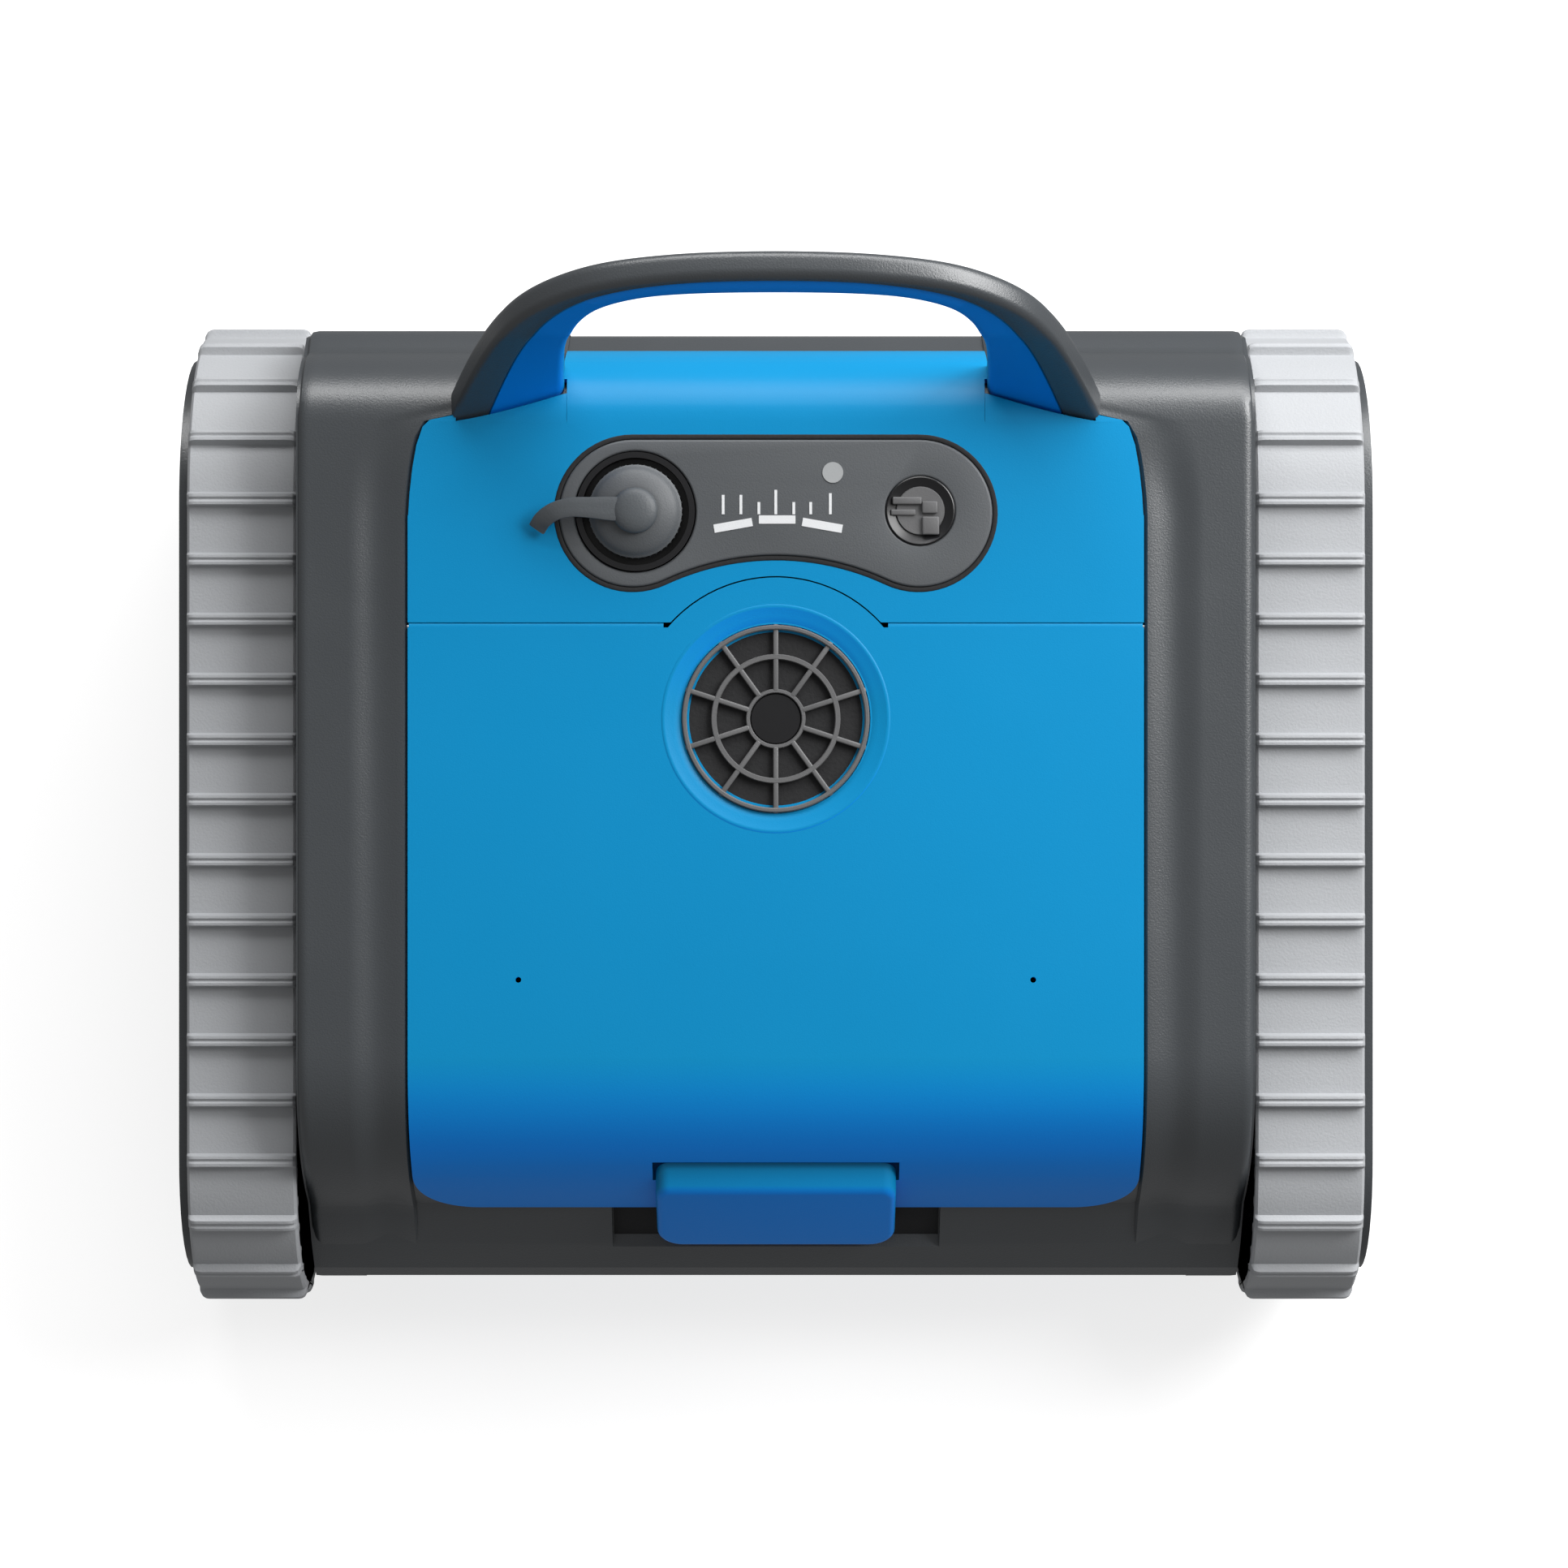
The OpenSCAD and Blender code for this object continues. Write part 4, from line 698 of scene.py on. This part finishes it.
# round switch
dish = lathe([(0.0, -0.0012), (0.006, -0.0009), (0.0098, 0.0002), (0.0114, 0.001), (0.012, 0.0013), (0.0124, 0.0011),
              (0.0125, 0.0006), (0.0125, -0.001)], 72)
newMesh("switchBezel", dish, "black_plastic", "body", ("switch_bezel",), smooth=40,
        place=deckPlace(switchSpot.x, panelV + 0.0009))
rocker = joined(
    block((0.0105, 0.0027, 0.0016), (-0.0048, 0.0036, 0.0012), 0.0005),
    block((0.0088, 0.0021, 0.0012), (-0.0062, -0.0006, 0.0008), 0.0004),
    block((0.0056, 0.0044, 0.0018), (0.0034, 0.0012, 0.0012), 0.0005),
    block((0.0062, 0.0066, 0.002), (0.0037, -0.0054, 0.001), 0.0006),
    lathe([(0.0, 0.0004), (0.0085, 0.0006), (0.0088, 0.0002), (0.0089, -0.002), (0.0, -0.002)], 48))
newMesh("powerSwitch", rocker, "grille_plastic", "power_switch", ("power_switch",), smooth=40,
        place=deckPlace(switchSpot.x, panelV + 0.0009))

# outlet grille
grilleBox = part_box("outlet_grille")
grilleR = (grilleBox[1].x - grilleBox[0].x) / 2
rimShape = lathe([(grilleR - 0.0018, -0.0024), (grilleR - 0.0018, -0.0002), (grilleR - 0.0014, 0.0002),
                  (grilleR - 0.0005, 0.0002), (grilleR - 0.0001, -0.0002), (grilleR - 0.0001, -0.0024)], 96)
midRing = lathe([(0.0214, -0.0024), (0.0214, -0.0007), (0.0217, -0.0003), (0.0231, -0.0003), (0.0234, -0.0007),
                 (0.0234, -0.0024)], 96)
hubRing = lathe([(0.0093, -0.0026), (0.0093, -0.0009), (0.0096, -0.0005), (0.0105, -0.0005), (0.0108, -0.0009),
                 (0.0108, -0.0026)], 72)
spokes = [block((grilleR - 0.0098, 0.0019, 0.002), ((grilleR + 0.0102) / 2, 0, -0.0014), 0.0005) for k in range(10)]
for k, spoke in enumerate(spokes):
    bmesh.ops.rotate(spoke, verts=spoke.verts, cent=(0, 0, 0), matrix=Matrix.Rotation(radians(36 * k + 90), 3, "Z"))
newMesh("outletGrille", joined(rimShape, midRing, hubRing, *spokes), "grille_plastic", "lid", ("outlet_grille",), smooth=40,
        place=deckPlace(0, grilleV))
newMesh("grilleHub", lathe([(0.0, -0.0012), (0.0088, -0.0012), (0.0092, -0.0018), (0.0092, -0.0026)], 64), "black_plastic",
        "lid", smooth=40, place=deckPlace(0, grilleV))
# painted shade: a black disc under the grille that makes its openings read dark
newMesh("grilleShadeDisc", lathe([(0.0, -0.0027), (0.0318, -0.0027), (0.0318, -0.0031), (0.0, -0.0031)], 64), "black_rubber",
        "lid", smooth=40, place=deckPlace(0, grilleV))
dishR = grilleR + 0.0068
newMesh("grilleDish", lathe([(grilleR + 0.0001, -0.0016), (grilleR + 0.0008, -0.0012), (grilleR + 0.0032, -0.0006),
                            (dishR - 0.0008, 0.0000), (dishR, 0.0003), (dishR + 0.0006, 0.0000)], 96),
        "blue_plastic", "lid", smooth=60, place=deckPlace(0, grilleV))
print("top details done")

# latch
latchSpot = Vector(jointOf["latch_pivot"]["pos_m"])
latchHalf = half("latch").x - 0.0006
latchSection = {"topFront": (-0.0094, 0.0014), "topBack": (0.0012, 0.003), "lowFront": (-0.0287, -0.0326),
                "lowBack": (-0.0217, -0.0366)}


def makeLatch():
    b = bmesh.new()
    bmesh.ops.create_cube(b, size=2)
    for v in b.verts:
        name = ("top" if v.co.z > 0 else "low") + ("Front" if v.co.y < 0 else "Back")
        y, z = latchSection[name]
        v.co = Vector((v.co.x * latchHalf, latchSpot.y + y, latchSpot.z + z))
    deep = [e for e in b.edges if abs(e.verts[0].co.x - e.verts[1].co.x) < 1e-6
            and abs(e.verts[0].co.z - e.verts[1].co.z) < 0.006 and abs(e.verts[0].co.y - e.verts[1].co.y) > 0.004]
    upper = [e for e in deep if e.verts[0].co.z > latchSpot.z - 0.01]
    lower = [e for e in deep if e not in upper]
    bmesh.ops.bevel(b, geom=lower, offset=0.0095, segments=9, profile=0.5, affect="EDGES", material=-1)
    upper = [e for e in b.edges if abs(e.verts[0].co.x - e.verts[1].co.x) < 1e-6
             and abs(abs(e.verts[0].co.x) - latchHalf) < 1e-6
             and all(v.co.z > latchSpot.z - 0.01 for v in e.verts) and abs(e.verts[0].co.y - e.verts[1].co.y) > 0.004]
    bmesh.ops.bevel(b, geom=upper, offset=0.005, segments=7, profile=0.5, affect="EDGES", material=-1)
    n = Vector((0, -0.87, 0.494))
    level = max(v.co.dot(n) for v in b.verts)
    rim = [e for e in b.edges if all(v.co.dot(n) > level - 0.002 for v in e.verts) and not e.is_boundary
           and sum(1 for f in e.link_faces if abs(f.normal.dot(n)) > 0.98) == 1]
    bmesh.ops.bevel(b, geom=rim, offset=0.0024, segments=5, profile=0.5, affect="EDGES", material=-1)
    return b


newMesh("latchHandle", makeLatch(), "blue_plastic", "latch", ("latch",), smooth=40)
rod = lathe([(0, -0.036), (0.00095, -0.036), (0.00095, 0.036), (0, 0.036)], 24)
newMesh("latchRod", rod, "steel", "lid", ("latch_pin",), smooth=40,
        place=Matrix.Translation(latchSpot) @ Matrix.Rotation(pi / 2, 4, "Y"))
# painted shade: a black sheet laid on the floor of the recess round the latch, which is housing plastic in shade
recess = {"half": 0.0605, "low": lidEdge.y - 0.0172, "deep": 0.0057}
nose = [(p, o) for p, o in zip(bodyLine, bodyOut) if p.x < 0 and recess["low"] < p.y < lidEdge.y + 0.004]


def recessShadePlace(u, v):
    p, o = nose[round(u * (len(nose) - 1))]
    return Vector(((v * 2 - 1) * recess["half"], p.x - o.x * recess["deep"], p.y - o.y * recess["deep"]))


# painted shade: the black sheet in the latch recess
newMesh("recessShadeSheet", grid(len(nose) - 1, 8, recessShadePlace), "black_rubber", "body", smooth=40)
print("latch done")

# CAD nodes that are shown as they are
noBevel = ("filter_mesh", "battery_bars", "scale_ticks", "status_light", "front_gear", "rear_gear", "lid", "rear_cover",
           "upper_housing", "lower_chassis")
bigSkins = ("lid", "rear_cover", "upper_housing")
slotOf = {s["node"]: s["material_slot"] for s in frame["record"]["subparts"]}
for name, obj in nodes.items():
    if obj.hide_render:
        continue
    obj.data.materials.clear()
    obj.data.materials.append(finish[slotOf[name]])
    for extra in [a for a in obj.data.attributes if a.name == "custom_normal"]:
        obj.data.attributes.remove(extra)
    obj.data.polygons.foreach_set("use_smooth", [True] * len(obj.data.polygons))
    weld = obj.modifiers.new("weld", "WELD")
    weld.merge_threshold = 0.00001
    if name not in noBevel:
        soft = obj.modifiers.new("soft", "BEVEL")
        soft.limit_method = "ANGLE"
        soft.angle_limit = radians(32)
        soft.width = 0.00035
        soft.segments = 2
        soft.use_clamp_overlap = True
    split = obj.modifiers.new("split", "EDGE_SPLIT")
    split.split_angle = radians(11 if name in bigSkins else 30)
    even = obj.modifiers.new("even", "WEIGHTED_NORMAL")
    even.weight = 100
print("nodes done")

# stage, lights and camera
floor = bpy.data.objects.new("floor", bpy.data.meshes.new("floor"))
b = bmesh.new()
bmesh.ops.create_grid(b, x_segments=1, y_segments=1, size=30)
b.to_mesh(floor.data)
b.free()
floor.location.z = -0.0002
bpy.context.scene.collection.objects.link(floor)
floorMat = bpy.data.materials.new("floorPaper")
floorMat.use_nodes = True
floorMat.node_tree.nodes["Principled BSDF"].inputs["Base Color"].default_value = (0.5, 0.5, 0.5, 1)
floorMat.node_tree.nodes["Principled BSDF"].inputs["Emission Color"].default_value = (1, 1, 1, 1)
floorMat.node_tree.nodes["Principled BSDF"].inputs["Emission Strength"].default_value = 0.72
floorMat.node_tree.nodes["Principled BSDF"].inputs["Roughness"].default_value = 0.9
floor.data.materials.append(floorMat)
floor.visible_diffuse = False
floor.visible_glossy = False

world = bpy.data.worlds.new("studio")
bpy.context.scene.world = world
world.use_nodes = True
world.node_tree.nodes["Background"].inputs["Color"].default_value = (1, 1, 1, 1)
world.node_tree.nodes["Background"].inputs["Strength"].default_value = 0.3


def lamp(name, at, aim, size, power, tone=(1, 1, 1)):
    data = bpy.data.lights.new(name, "AREA")
    data.shape = "RECTANGLE"
    data.size, data.size_y = size
    data.energy = power
    data.color = tone
    o = bpy.data.objects.new(name, data)
    o.location = at
    o.rotation_euler = (Vector(aim) - Vector(at)).to_track_quat("-Z", "Y").to_euler()
    bpy.context.scene.collection.objects.link(o)


lamp("key", (1.0, 0.55, 1.0), (0.05, 0, 0.12), (0.8, 0.9), 25)
lamp("rear", (0.2, 1.35, 1.05), (0, 0.08, 0.15), (1.8, 0.7), 28)

camera = bpy.data.objects.new("camera", bpy.data.cameras.new("camera"))
bpy.context.scene.collection.objects.link(camera)
bpy.context.scene.camera = camera
camera.data.lens = 106.65
camera.data.sensor_width = 36
camera.matrix_world = Matrix.Translation((0.00297, -0.1934, 1.8162)) @ Matrix.Rotation(tilt, 4, "X")
bpy.context.scene.view_settings.view_transform = "Standard"

print("scene done")
